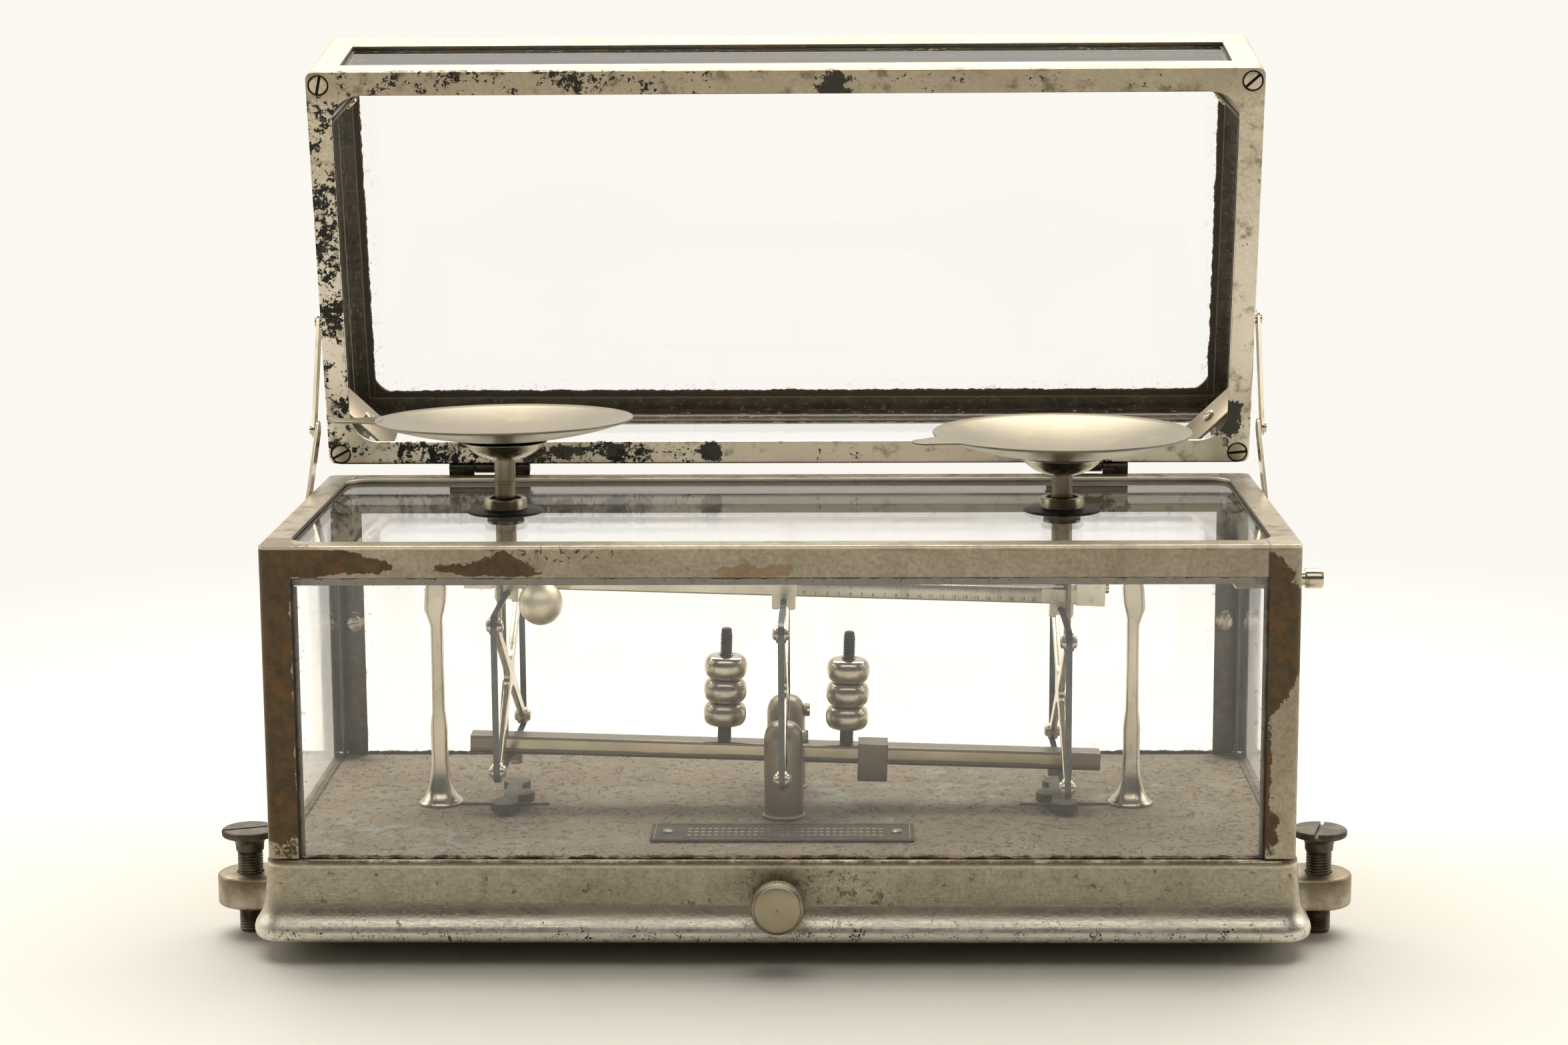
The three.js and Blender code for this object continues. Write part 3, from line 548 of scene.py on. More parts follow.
def case_metal():
    p = Paint("case_metal")
    state = nickel(p, 46, 0.34)
    state = (state[0], 0.95, state[1], state[2])
    front = p.ease(p.y, -60, -74)
    tooth = p.ragged(7, 3.0, 3)
    post_edge = p.calc("MINIMUM", p.line(p.z, -0.667, 179), p.line(p.z, 0.606, 218.8))
    right_post = p.product(
        p.ease(p.minus(p.plus(post_edge, p.ragged(6, 2.6, 17)), p.x), -0.15, 0.15),
        p.ease(p.x, 177.2, 178.0), p.ease(p.z, -2.2, -3.4),
    )
    left_post = p.product(
        p.ease(p.plus(p.x, p.product(tooth, 0.35)), -178.2, -178.6),
        p.ease(p.plus(p.z, p.product(tooth, 2.0)), -113.2, -112.4), p.ease(p.x, -189.7, -189.3),
    )
    peak = p.calc("MINIMUM", p.line(p.x, 0.315, 30.3), p.line(p.x, -0.67, -68.2))
    sill = p.line(p.size(p.line(p.x, 1.0, 100)), 0.09, -11.8)
    rail = p.product(
        p.ease(p.minus(p.plus(peak, p.product(tooth, 0.7)), p.z), -0.2, 0.2),
        p.ease(p.minus(p.z, p.plus(sill, p.product(tooth, 0.3))), -0.2, 0.2),
    )
    brown = p.most(
        left_post, right_post, rail,
        p.blob((-181, -80, -5.8), (30, 20, 5.7), 0.16, 8, 21), p.blob(
            (-151, -80, -7.6), (11.6, 20, 2.9), 0.4, 7, 40,
        ),
        p.blob((178.2, -80, -90), (1.5, 20, 27), 0.7, 5, 17), p.blob(
            (180.3, -80, -107), (2.3, 20, 8), 0.6, 4, 41,
        ),
        p.product(
            p.blob((-80, -80, -3), (22, 20, 2.6), 0.7, 5, 12), p.ease(p.noise(2.6, 4, 0.7, 5), 0.57, 0.6),
        ),
    )
    brown = p.product(brown, front)
    grain = p.ease(p.noise(5, 5, 0.7, 9), 0.3, 0.75)
    bare = p.blend(grain, 0x4F3F28, 0x6B5636)
    rust = p.ease(p.noise(9, 5, 0.68, 61), 0.54, 0.66)
    bare = p.blend(p.product(rust, 0.6), bare, 0x7E5427)
    rim = p.ease(p.size(p.minus(brown, 0.5)), 0.42, 0.1)
    state = layer(p, state, brown, bare, 0.35, 0.5, -0.8)
    state = layer(p, state, p.product(rim, 0.5), 0x3E3222, 0.3, 0.6, -0.2)
    stain = p.blob((-9, -80, -9.6), (18, 20, 2.4), 0.7, 9, 52)
    state = layer(p, state, p.product(stain, front, 0.42), 0x8A5F2C, 0.6, 0.45, 0.0)
    seam = p.most(
        near_edge(p, p.size(p.x), 178, 0.9), near_edge(p, p.size(p.y), 70, 0.9),
    )
    seam = p.product(seam, p.ease(p.noise(7, 5, 0.65, 23), 0.4, 0.58), p.ease(p.z, -6, -1))
    state = layer(p, state, p.product(seam, 0.85), 0x5A3A20, 0.4, 0.6, -0.3)
    top = p.product(p.ease(p.z, -2.5, -0.6), p.ease(p.noise(13, 5, 0.66, 66), 0.48, 0.62))
    state = layer(p, state, p.product(top, 0.62), 0x5D4A2F, 0.6, 0.5, -0.2)
    # Painted highlight: a pale line along the front rail's top edge, where light catches the edge, not wear.
    worn = p.product(near_edge(p, p.z, -0.7, 0.9), front, 0.7)
    state = layer(p, state, worn, 0xEFE4CA, 0.95, 0.26, 0.0)
    smudge = p.product(p.ease(p.noise(16, 5, 0.6, 66), 0.58, 0.74), 0.36)
    state = layer(p, state, smudge, 0x7A6647, 0.7, 0.5, 0.0)
    state = layer(p, state, pits(p, 0.22, 1.3), PIT, 0.3, 0.7, -0.9)
    hollow = p.product(p.inside((0, 0, -60)), p.ease(p.noise(12, 4, 0.6, 2), 0.1, 0.55, 0.8, 1))
    behind = p.product(p.ease(p.z, -16, -13), p.ease(p.y, 60, 68))
    lining = p.blend(behind, 0x4B4437, 0xCFC8B6)
    state = layer(p, state, hollow, lining, 0.55, 0.5, 0.0)
    return p.done(*state, depth=0.06)


def lid_metal():
    p = Paint("lid_metal", LID)
    colour, rough, relief = nickel(p, 26, 0.35, 0xCDC1A9, 0xAFA38B)
    state = (colour, 0.95, rough, relief)
    rim = p.ease(p.z, 3.0, 0.2)
    # Painted light on the rim: a painted highlight paling it towards the hinge, and painted shade darkening
    # it along the far edge.
    state = layer(p, state, p.product(rim, p.ease(p.y, -150, -40), 0.8), 0xF3EBDA, 0.95, 0.34, 0.0)
    state = layer(p, state, p.product(rim, p.ease(p.y, -152, -160), 0.6), 0x93876F, 0.9, 0.42, 0.0)
    left = p.ease(p.x, -168, -182)
    far = p.product(p.ease(p.y, -152, -160), p.ease(p.x, 60, -150, 0.45, 1.0))
    near = p.product(p.ease(p.y, -22, -8), p.ease(p.x, 80, -150, 0.3, 0.95))
    right = p.product(p.ease(p.x, 176, 184), 0.42)
    thick = p.product(p.most(left, far, near, right), rim)
    patchy = p.ease(p.noise(18, 4, 0.6, 44), 0.3, 0.62, 0.35, 1.0)
    state = layer(p, state, pits(p, p.plus(p.product(thick, patchy), 0.12), 2.0), PIT, 0.15, 0.72, -1.0)
    across = p.minus(p.size(p.x), 185)
    along_lid = p.minus(p.size(p.line(p.y, 1.0, 84.3)), 77.6)
    reach = p.calc("SQRT", p.plus(p.product(across, across), p.product(along_lid, along_lid)))
    state = layer(p, state, p.product(p.ease(reach, 4.5, 4.0), p.ease(p.z, 0, -1)), 0x2B281C, 0.3, 0.7, 0.0)
    blots = p.most(
        p.blob((20, -161, -2), (6, 5, 5), 0.8, 5, 7), p.blob((-32, -7.5, -2), (5, 4, 5), 0.6, 5, 2),
        p.blob((-168, -40, -2), (6, 10, 5), 0.9, 6, 25), p.blob((181, -20, -2), (5, 8, 5), 0.9, 7, 3),
        p.blob((130, -7, -2), (7, 4, 5), 0.9, 6, 12), p.blob((-90, -8, -2), (30, 4, 5), 1.0, 8, 6),
    )
    state = layer(p, state, p.product(blots, rim, 0.92), 0x262820, 0.15, 0.7, -0.8)
    stain = p.product(p.ease(p.noise(9, 5, 0.65, 19), 0.52, 0.68), p.mix(rim, 0.25, 0.6))
    state = layer(p, state, stain, 0x6A5A3E, 0.6, 0.55, 0.0)
    lining = p.blend(p.ease(p.noise(8, 5, 0.62, 35), 0.35, 0.7), 0x544D3A, 0x6E644D)
    lining = p.blend(p.product(p.ease(p.noise(14, 5, 0.6, 71), 0.6, 0.68), 0.7), lining, 0x8A5836)
    state = layer(
        p, state, p.product(p.inside((0, -84.7, 30)), p.ease(p.z, 0.3, 1.4)), lining, 0.35, 0.55, 0.0,
    )
    return p.done(*state, depth=0.08)


def base_metal():
    p = Paint("base_metal")
    colour, rough, relief = nickel(p, 34, 0.5, 0xC2B8A2, 0xA89E88)
    state = (colour, 0.92, rough, relief)
    foot = p.ease(p.z, FLOOR - 15, FLOOR - 29)
    blotchy = p.ease(p.noise(20, 4, 0.6, 5), 0.36, 0.62)
    # Painted reflection: the flaring foot is paled towards near white, standing for the pale floor mirrored
    # in it.
    state = (p.blend(p.product(foot, 0.9), colour, 0xFAF4E6), 0.92, rough, relief)
    fine = pits(p, p.plus(p.product(foot, 0.5), 0.2), 0.7, 3)
    state = layer(p, state, p.product(fine, 0.8), 0x4A4334, 0.4, 0.65, -0.6)
    state = layer(p, state, pits(p, p.plus(p.product(foot, blotchy, 0.62), 0.14), 1.3), PIT, 0.2, 0.7, -1.0)
    speckle = p.ease(p.noise(4.5, 5, 0.7, 27), 0.6, 0.68)
    state = layer(p, state, p.product(speckle, 0.55), 0x665436, 0.5, 0.6, -0.3)
    around = p.blob((14, -84, -128), (20, 14, 15), 0.8, 9, 5)
    streaks = p.ease(p.noise(3.4, 5, 0.7, 14), 0.5, 0.62)
    state = layer(p, state, p.product(around, streaks, 0.6), 0x6E5130, 0.4, 0.6, 0.1)
    ears = p.product(p.ease(p.size(p.x), 195, 199), p.ease(p.noise(8, 5, 0.6, 33), 0.2, 0.7, 0.35, 0.7))
    state = layer(p, state, ears, 0x75603F, 0.7, 0.5, 0.0)
    # Painted highlight: a pale line just below the base's top edge.
    state = layer(p, state, p.product(near_edge(p, p.z, FLOOR - 2.2, 1.1), 0.55), 0xE9DFC8, 0.95, 0.28, 0.0)
    rim = near_edge(p, p.z, FLOOR - 0.6, 1.6)
    rim = p.product(rim, p.ease(p.noise(10, 5, 0.7, 61), 0.4, 0.56))
    state = layer(p, state, p.product(rim, 0.75), 0x5A4528, 0.45, 0.6, 0.0)
    floor = p.product(
        p.ease(p.z, FLOOR - 0.5, FLOOR - 0.1),
        p.ease(p.size(p.x), 190.2, 188), p.ease(p.size(p.y), 82, 80.4),
    )
    dirt = p.blend(p.ease(p.noise(28, 5, 0.6, 3), 0.35, 0.65), 0x8D826D, 0x80745D)
    dirt = p.blend(p.product(p.ease(p.noise(9, 6, 0.72, 15), 0.53, 0.6), 0.22), dirt, 0x66502F)
    dirt = p.blend(p.product(p.ease(p.noise(3.6, 4, 0.7, 8), 0.55, 0.6), 0.75), dirt, 0x54452D)
    dirt = p.blend(p.product(p.ease(p.noise(5.2, 4, 0.66, 88), 0.64, 0.68), 0.85), dirt, 0x84502C)
    fleck = p.noise(2.2, 4, 0.62, 71, p.stretched(1.0, 0.4, 1.0))
    dirt = p.blend(p.product(p.ease(fleck, 0.6, 0.64), 0.85), dirt, 0x5B4126)
    sill = p.product(p.ease(p.y, -70, -78), p.ease(p.noise(12, 5, 0.7, 29), 0.4, 0.6))
    dirt = p.blend(p.product(sill, 0.75), dirt, 0x6A3F1E)
    pale = p.product(p.ease(p.noise(14, 6, 0.7, 40), 0.5, 0.62), p.most(
        p.blob((-150, -52, FLOOR), (50, 22, 20), 0.6, 20, 1), p.blob(
            (60, 20, FLOOR), (90, 30, 20), 0.8, 30, 2,
        ),
        p.blob((-60, -62, FLOOR), (40, 10, 20), 0.9, 15, 7),
    ))
    dirt = p.blend(p.product(pale, 0.45), dirt, BLOOM)
    grit = p.ease(p.noise(1.8, 4, 0.7, 55), 0.6, 0.65)
    dirt = p.blend(p.product(grit, 0.8), dirt, 0xB9A583)
    state = layer(p, state, floor, dirt, 0.0, 0.8, 0.4)
    return p.done(*state, depth=0.1)


def works_metal(name="works_metal", colour=0xCEC4AF, deep=0xB0A58F, wear=0.08, rough=0.2):
    """Turned and polished nickel: an even mirror with hairlines, a thin film and a few pits."""
    p = Paint(name)
    broad = p.ease(p.noise(26, 4, 0.5), 0.3, 0.72)
    hair = p.noise(0.45, 3, 0.6, 5, p.stretched(0.08, 0.5, 1.0))
    film = p.product(p.ease(p.noise(9, 5, 0.6, 12), 0.54, 0.72), 0.34)
    base = p.blend(p.product(broad, 0.5), colour, deep)
    state = (base, 1.0, p.mix(broad, rough, rough + 0.08), p.product(hair, 0.3))
    state = layer(p, state, film, 0x857863, 0.9, rough + 0.16, 0.0)
    state = layer(p, state, pits(p, wear, 1.0), 0x3A3424, 0.4, 0.6, -0.5)
    return p.done(*state, depth=0.012)


def rim_screw_metal():
    """Satin nickel, with old dirt in the slot and round the head."""
    p = Paint("rim_screw_metal", LID)
    colour, rough, relief = nickel(p, 9, 0.5, 0xCFC4AB, 0xA89D86)
    state = layer(p, (colour, 0.95, rough, relief), p.ease(p.z, -1.85, -1.55), 0x1E1B14, 0.2, 0.8, 0.0)
    return p.done(*state, depth=0.04)


def collar_metal(name):
    """Blackened flange under a bright turned ring."""
    p = Paint(name)
    patch = p.ease(p.noise(5, 5, 0.65, 3), 0.38, 0.7)
    black = p.blend(p.product(patch, 0.5), 0x2B2823, 0x5E5646)
    bright = p.blend(patch, 0xA89D88, 0x7F7562)
    ring = p.ease(p.plus(p.z, p.ragged(3, 0.12, 5)), 0.25, 0.45)
    fine = p.noise(0.8, 4, 0.65, 18)
    return p.done(p.blend(ring, black, bright), p.mix(ring, 0.7, 1.0), p.mix(ring, 0.5, 0.28), fine, 0.03)


def plate_metal():
    """Darkened plate whose raised border, bars and rivets have worn bright."""
    p = Paint("nameplate_metal")
    dull = p.blend(p.ease(p.noise(7, 5, 0.6, 4), 0.35, 0.7), 0x39342A, 0x524A3A)
    worn = p.blend(p.ease(p.noise(5, 5, 0.66, 8), 0.4, 0.66), 0xA3987F, 0x756B55)
    raised = p.ease(p.z, FLOOR + 1.12, FLOOR + 1.18)
    return p.done(
        p.blend(raised, dull, worn), p.mix(raised, 0.15, 0.8), p.mix(raised, 0.72, 0.36),
        p.noise(0.9, 4, 0.65, 2), 0.03,
    )


def beam_metal():
    """Flat bar, polished, with a painted reflection of the floor darkening it below, and darker along its
    top edge and at its ends.
    """
    p = Paint("lower_beam_metal", LOWER)
    broad = p.ease(p.noise(26, 4, 0.5), 0.3, 0.72)
    hair = p.noise(0.45, 3, 0.6, 5, p.stretched(0.08, 0.5, 1.0))
    base = p.blend(p.product(broad, 0.5), 0xB9AD95, 0x9C9079)
    state = (base, 1.0, p.mix(broad, 0.16, 0.24), p.product(hair, 0.3))
    # Painted reflection: the dark lower band stands for the floor mirrored in the bar; the same layer
    # darkens its top edge and ends.
    low = p.ease(p.plus(p.z, p.ragged(13, 0.22, 4)), 3.2, 2.7)
    end = p.product(p.ease(p.size(p.x), 109, 112), 0.8)
    top = p.product(p.ease(p.z, 6.5, 6.9), 0.8)
    state = layer(p, state, p.product(p.most(low, end, top), 0.88), 0x63584A, 0.85, 0.32, 0.0)
    state = layer(p, state, pits(p, 0.08, 1.0), 0x3A3424, 0.4, 0.6, -0.5)
    return p.done(*state, depth=0.012)


def pan_metal(name, centre):
    p = Paint(name)
    offset = p.vector("SUBTRACT", p.mm, centre)
    x, y, _ = p.add("ShaderNodeSeparateXYZ", {0: offset}).outputs
    radius = p.calc("SQRT", p.plus(p.product(x, x), p.product(y, y)))
    rings = p.add("ShaderNodeCombineXYZ", {0: p.calc("MULTIPLY", radius, 1.3)}).outputs[0]
    brushed = p.noise(0.9, 4, 0.7, 0, rings)
    broad = p.ease(p.noise(30, 4, 0.55), 0.3, 0.72)
    colour = p.blend(p.product(broad, 0.5), 0x8E8572, 0x7F7663)
    state = (colour, 0.95, p.calc("MULTIPLY_ADD", brushed, 0.12, 0.28), brushed)
    stain = p.product(p.ease(p.noise(13, 5, 0.62, 29), 0.54, 0.68), 0.35)
    state = layer(p, state, stain, 0xA79A6C, 0.7, 0.45, 0.0)
    hub = p.product(p.ease(radius, 34, 6), 0.35)
    state = layer(p, state, hub, 0x8F8672, 0.9, 0.42, 0.0)
    state = layer(p, state, pits(p, 0.08, 1.0), 0x5B5036, 0.4, 0.6, -0.4)
    return p.done(*state, depth=0.02)


def dark_metal(name, colour, worn, metal=0.8, rough=0.5, wear=0.4):
    p = Paint(name)
    patch = p.ease(p.noise(5, 5, 0.65, 3), 0.38, 0.7)
    colour = p.blend(p.product(patch, wear), colour, worn)
    fine = p.noise(0.8, 4, 0.65, 18)
    colour = p.blend(p.product(p.ease(fine, 0.5, 0.72), 0.35), colour, 0x5C4630)
    return p.done(colour, metal, p.calc("MULTIPLY_ADD", patch, 0.16, rough - 0.1), fine, 0.05)


def glass(name, frame_of, low, high, haze=0.05, crust=0.8, shine=1.0):
    """Clear pane that mirrors at a slant, with old putty crusted along the edge of its opening."""
    p = Paint(name, frame_of)
    slant = p.add("ShaderNodeLayerWeight", {"Blend": 0.5}).outputs["Facing"]
    mirror = p.calc("MULTIPLY_ADD", p.calc("POWER", slant, 5.0), 0.96 * shine, 0.04 * shine)
    gaps = []
    for axis, value in enumerate((p.x, p.y, p.z)):
        if high[axis] - low[axis] > 10:
            gaps.append(p.minus(value, low[axis]))
            gaps.append(p.minus(high[axis], value))
    gap = gaps[0]
    for value in gaps[1:]:
        gap = p.calc("MINIMUM", gap, value)
    old = p.ease(p.plus(gap, p.ragged(5, 0.5, 6)), crust + 0.35, crust - 0.1)
    old = p.product(old, p.ease(gap, -1.6, -0.6))
    yellow = p.product(p.ease(gap, 9, 1), p.ease(p.noise(3, 5, 0.7, 47), 0.56, 0.7), 0.4)
    film = p.ease(p.noise(60, 5, 0.6, 2), 0.3, 0.75)
    specks = p.product(p.ease(p.noise(1.3, 3, 0.6, 33), 0.78, 0.81), 0.5)
    dirt = p.most(p.calc("MULTIPLY_ADD", film, haze, haze * 0.4), old, yellow, specks)
    colour = p.blend(p.ease(yellow, 0.0, 0.2), 0xCFD2C2, 0xA8905E)
    colour = p.blend(old, colour, 0x4A3B26)
    clean = p.ease(dirt, 0.25, 0.02)
    colour = p.blend(clean, colour, (1, 1, 1, 1))
    return p.done(colour, clean, p.mix(clean, 0.6, 0.03), None, alpha=p.most(dirt, mirror))


# ---- Base casting ----
def stem_x(name):
    """Where an arrest pad's stem goes down through the base: the middle of the CAD pad's lowest ring."""
    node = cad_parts[f"{name}_arrest_pad"]
    points = [node.matrix_world @ vertex.co for vertex in node.data.vertices]
    foot = min(point.z for point in points)
    ring = [point.x for point in points if point.z < foot + 1e-5]
    return ((min(ring) + max(ring)) / 2 - CASE_ORIGIN[0]) / MM


def base_piece():
    levels = (
        (-30.3, 4.2), (-30.1, 4.9), (-29.5, 5.6), (-28.2, 6.1), (-26.6, 6.2), (-25.2, 5.9), (-23.8, 5.3),
        (-22.4, 4.4), (-21.0, 3.6), (-19.3, 2.9), (-17.0, 2.3), (-14.0, 1.9), (-10.0, 1.45), (-6.0, 1.05),
        (-2.4, 0.75), (-1.2, 0.62), (-0.5, 0.38), (-0.12, 0.05), (0, -0.35),
    )
    mesh = bmesh.new()
    rings = []
    for z, out in levels:
        outline = rounded(381 + 2 * out, 164 + 2 * out, 7 + out, steps=10)
        rings.append([(x, y, FLOOR + z) for x, y in outline])
    skin(mesh, rings)
    hollow = bmesh.new()
    prism(hollow, rounded(*HOLLOW), FLOOR - 40, FLOOR - 4.5)
    combine(mesh, "DIFFERENCE", hollow)
    for name, side in SIDES:
        ear = bmesh.new()
        outline = rounded(42, 24.8, 12.3, (side * (SCREW_X + 12.4 - 21), SCREW_Y), 14)
        prism(ear, outline, -144.6, -132.4, edge=1.1)
        inner = bmesh.new()
        prism(inner, rounded(*HOLLOW), -150, -128)
        combine(ear, "DIFFERENCE", inner)
        combine(mesh, "UNION", ear)
        hole = bmesh.new()
        lathe(
            hole, [(0, -150), (5.2, -150), (5.2, -128), (0, -128)],
            32, moved((side * SCREW_X, SCREW_Y, 0)),
        )
        stem = bmesh.new()
        lathe(stem, [(0, -130), (2.4, -130), (2.4, -110), (0, -110)], 20, moved((stem_x(name), 0, 0)))
        combine(mesh, "DIFFERENCE", hole, stem)
    shaft = bmesh.new()
    lathe(shaft, [(0, 0), (4.3, 0), (4.3, 20), (0, 20)], 24, along("+y", KNOB_X, -92, KNOB_Z))
    combine(mesh, "DIFFERENCE", shaft)
    return piece("base", mesh, CASE, "case", ("base_casting",), 40)


# ---- Screws, knurls and other turned work ----
def knurl(rows, depth, count):
    """Bumps for a turned profile's rows, like the ridges of a milled edge."""
    return lambda index, angle: depth * abs(math.sin(angle * count / 2)) if index in rows else 0


def levelling_screw(side):
    name, sign = side
    at = moved((sign * SCREW_X, SCREW_Y, 0))
    mesh = bmesh.new()
    threads(mesh, 4.9, 0.55, 1.1, -155.5, -123.6, at)
    profile = [
        (0, -124.4), (4.4, -124.4), (5.2, -123.9), (5.35, -123.2), (5.4, -121.6), (5.7, -120.4),
        (6.6, -119.3),
        (8.2, -118.5), (9.7, -118.3), (10.2, -118.0), (10.2, -117.6), (10.2, -116.2), (10.2, -115.8),
        (9.8, -115.5),
        (0, -115.5),
    ]
    head = bmesh.new()
    lathe(head, profile, 288, at, knurl((10, 11), 0.22, 72))
    slot = bmesh.new()
    turn = Matrix.Rotation(math.radians(20 if sign < 0 else 75), 4, "Z")
    block(slot, (-14, -0.75, -116.9), (14, 0.75, -110), at @ turn, 0.05)
    combine(head, "DIFFERENCE", slot)
    scratch = bpy.data.meshes.new("head")
    head.to_mesh(scratch)
    head.free()
    mesh.from_mesh(scratch)
    detail(f"{name}_levelling_screw", mesh, CASE, f"{name}_screw", "dark_steel", 30)


def rear_foot():
    mesh = bmesh.new()
    profile = [
        (0, -155.5), (7.4, -155.5), (8.4, -155.1), (8.9, -154.2), (8.8, -153), (8.1, -150.8), (7.1, -148.9),
        (6.3, -147.2), (6, -145), (6, -123.2), (5.6, -122.95), (0, -122.95),
    ]
    lathe(mesh, profile, 40, moved((0, 62, 0)))
    detail("rear_foot", mesh, CASE, "case", "dark_steel", 40)


def knob_piece():
    mesh = bmesh.new()
    profile = [
        (0, -98.0), (0.5, -98.0), (0.7, -98.03), (1.2, -98.05), (5, -98.04), (7.6, -97.95), (8.3, -97.8),
        (8.6, -97.45),
        (9.0, -97.15), (9.4, -97.0), (9.62, -96.8), (9.62, -96.3), (9.62, -92.1), (9.62, -91.6),
        (9.3, -90.9),
        (8.8, -90.5), (0, -90.5),
    ]
    lathe(mesh, [(0, -97.4), *profile[1:]], 320, along("+y", KNOB_X, 0, KNOB_Z), knurl((11, 12), 0.2, 80))
    detail("arrest_knob", mesh, CASE, "knob", "cast_nickel", 30)


def rods_and_nuts():
    for name, sign in SIDES:
        at = moved((sign * POISE_X, 0, 0))
        mesh = bmesh.new()
        lathe(mesh, [(0, 7.95), (2.65, 7.95), (2.65, 13.8), (2.3, 14.1), (0, 14.1)], 32, at)
        threads(mesh, 2.5, 0.6, 0.99, 13.9, 51.4, at)
        lathe(mesh, [(0, 51.1), (2.05, 51.1), (2.0, 51.9), (1.7, 52.5), (1.1, 52.75), (0, 52.8)], 28, at)
        detail(f"{name}_poise_rod", mesh, LOWER, "bottom_beam", "blackened_brass", 30)
        for number, level in enumerate(("lower", "middle", "upper")):
            base = 13.9 + 9.4 * number
            profile = [(2.8, 0.25), (3.2, 0.0), (4.7, 0.0)]
            for step in range(1, 16):
                angle = -math.pi / 2 + math.pi * step / 16
                profile.append((
                    4.9 + 3.5 * bent(math.cos(angle), 0.72),
                    4.55 + 4.55 * bent(math.sin(angle), 0.94),
                ))
            profile += [(4.7, 9.1), (3.2, 9.1), (2.8, 8.85)]
            mesh = bmesh.new()
            lathe(mesh, profile, 56, at @ moved((0, 0, base)))
            detail(f"{name}_{level}_poise_nut", mesh, LOWER, f"{name}_nut_{number + 1}", "works_nickel", 35)


def pillar_piece(name, y, screw_turn):
    mesh = bmesh.new()
    profile = [
        (0, FLOOR + 0.3), (8.2, FLOOR + 0.3), (8.35, FLOOR + 0.5), (8.35, FLOOR + 0.9),
        (7.9, FLOOR + 1.3), (7.6, FLOOR + 1.8),
        (7.6, -88), (7.45, -86), (6.9, -84), (6.0, -82.4), (4.6, -81.1), (2.6, -80.4), (0, -80.2),
    ]
    lathe(mesh, profile, 56)
    slot = bmesh.new()
    block(slot, (-1.55, -12, -101), (1.55, 12, -70), edge=0.1)
    hole = bmesh.new()
    lathe(hole, [(0, -12), (3.3, -12), (3.3, 12), (0, 12)], 36, along("+y", 0, 0, -101))
    combine(mesh, "DIFFERENCE", slot, hole)
    screw_head(mesh, 2.6, 2.4, along("+x", 7.2, 0, -86.5), screw_turn)
    detail(f"{name}_pillar", mesh, CASE @ moved((0, y, 0)), "case", "works_nickel", 35, 0.25)


def stop_post(side):
    name, sign = side
    foot = FLOOR + 0.3
    levels = (
        # height, half-width, half-depth, roundness (1 round, 0 square), middle
        (foot, 9.0, 9.0, 1, 0), (foot + 0.8, 8.9, 8.9, 1, 0), (foot + 1.6, 7.9, 7.9, 1, 0),
        (foot + 3.2, 6.4, 6.6, 0.9, 0),
        (foot + 5.4, 5.3, 5.5, 0.75, 0), (foot + 8.4, 4.4, 4.6, 0.6, 0), (foot + 12.4, 3.7, 3.9, 0.45, 0),
        (foot + 18, 3.2, 3.4, 0.3, 0), (-88, 3.35, 3.1, 0.25, 0), (-85, 3.1, 3.0, 0.22, 0),
        (-80.5, 2.5, 3.0, 0.2, 0),
        (-62, 2.35, 3.0, 0.2, 0), (-46.5, 2.4, 3.0, 0.2, 0), (-43.5, 2.9, 3.0, 0.2, 0.5),
        (-40, 4.0, 3.0, 0.2, 0.7),
        (-37, 4.2, 3.0, 0.2, 0.3), (-32, 4.2, 3.0, 0.2, 0), (-29, 3.6, 3.0, 0.2, -0.2),
        (-26.5, 2.8, 3.0, 0.2, -0.1),
        (-20.6, 2.7, 3.0, 0.2, 0), (-20, 2.3, 2.6, 0.2, 0),
    )
    rings = []
    for z, wide, deep, roundness, middle in levels:
        power = 0.28 + 0.72 * roundness
        ring = []
        for step in range(40):
            angle = 2 * math.pi * (step + 0.5) / 40
            c, s = math.cos(angle), math.sin(angle)
            ring.append((
                sign * middle + wide * bent(c, power),
                deep * bent(s, power), z,
            ))
        rings.append(ring)
    mesh = bmesh.new()
    skin(mesh, rings)
    detail(f"{name}_stop_post", mesh, CASE @ moved((sign * POST_X, 0, 0)), "case", "works_nickel", 45)


# ---- Trusses, bands and pans ----
YZ = Matrix(((0, 0, 1, 0), (1, 0, 0, 0), (0, 1, 0, 0), (0, 0, 0, 1)))  # outline in YZ, raised along X
BAND_MIDDLE = moved((0, 0, -68.7))
BOSS = (45.95, 28.25)


def hoop(mesh, outer, inner, low, high, at):
    """Closed band between two outlines of the same number of points."""
    loops = []
    for outline, z in ((outer, low), (outer, high), (inner, high), (inner, low)):
        loops.append([mesh.verts.new(at @ Vector((x, y, z))) for x, y in outline])
    for first, second in zip(loops, loops[1:] + loops[:1]):
        for step in range(len(first)):
            after = (step + 1) % len(first)
            mesh.faces.new((first[step], first[after], second[after], second[step]))


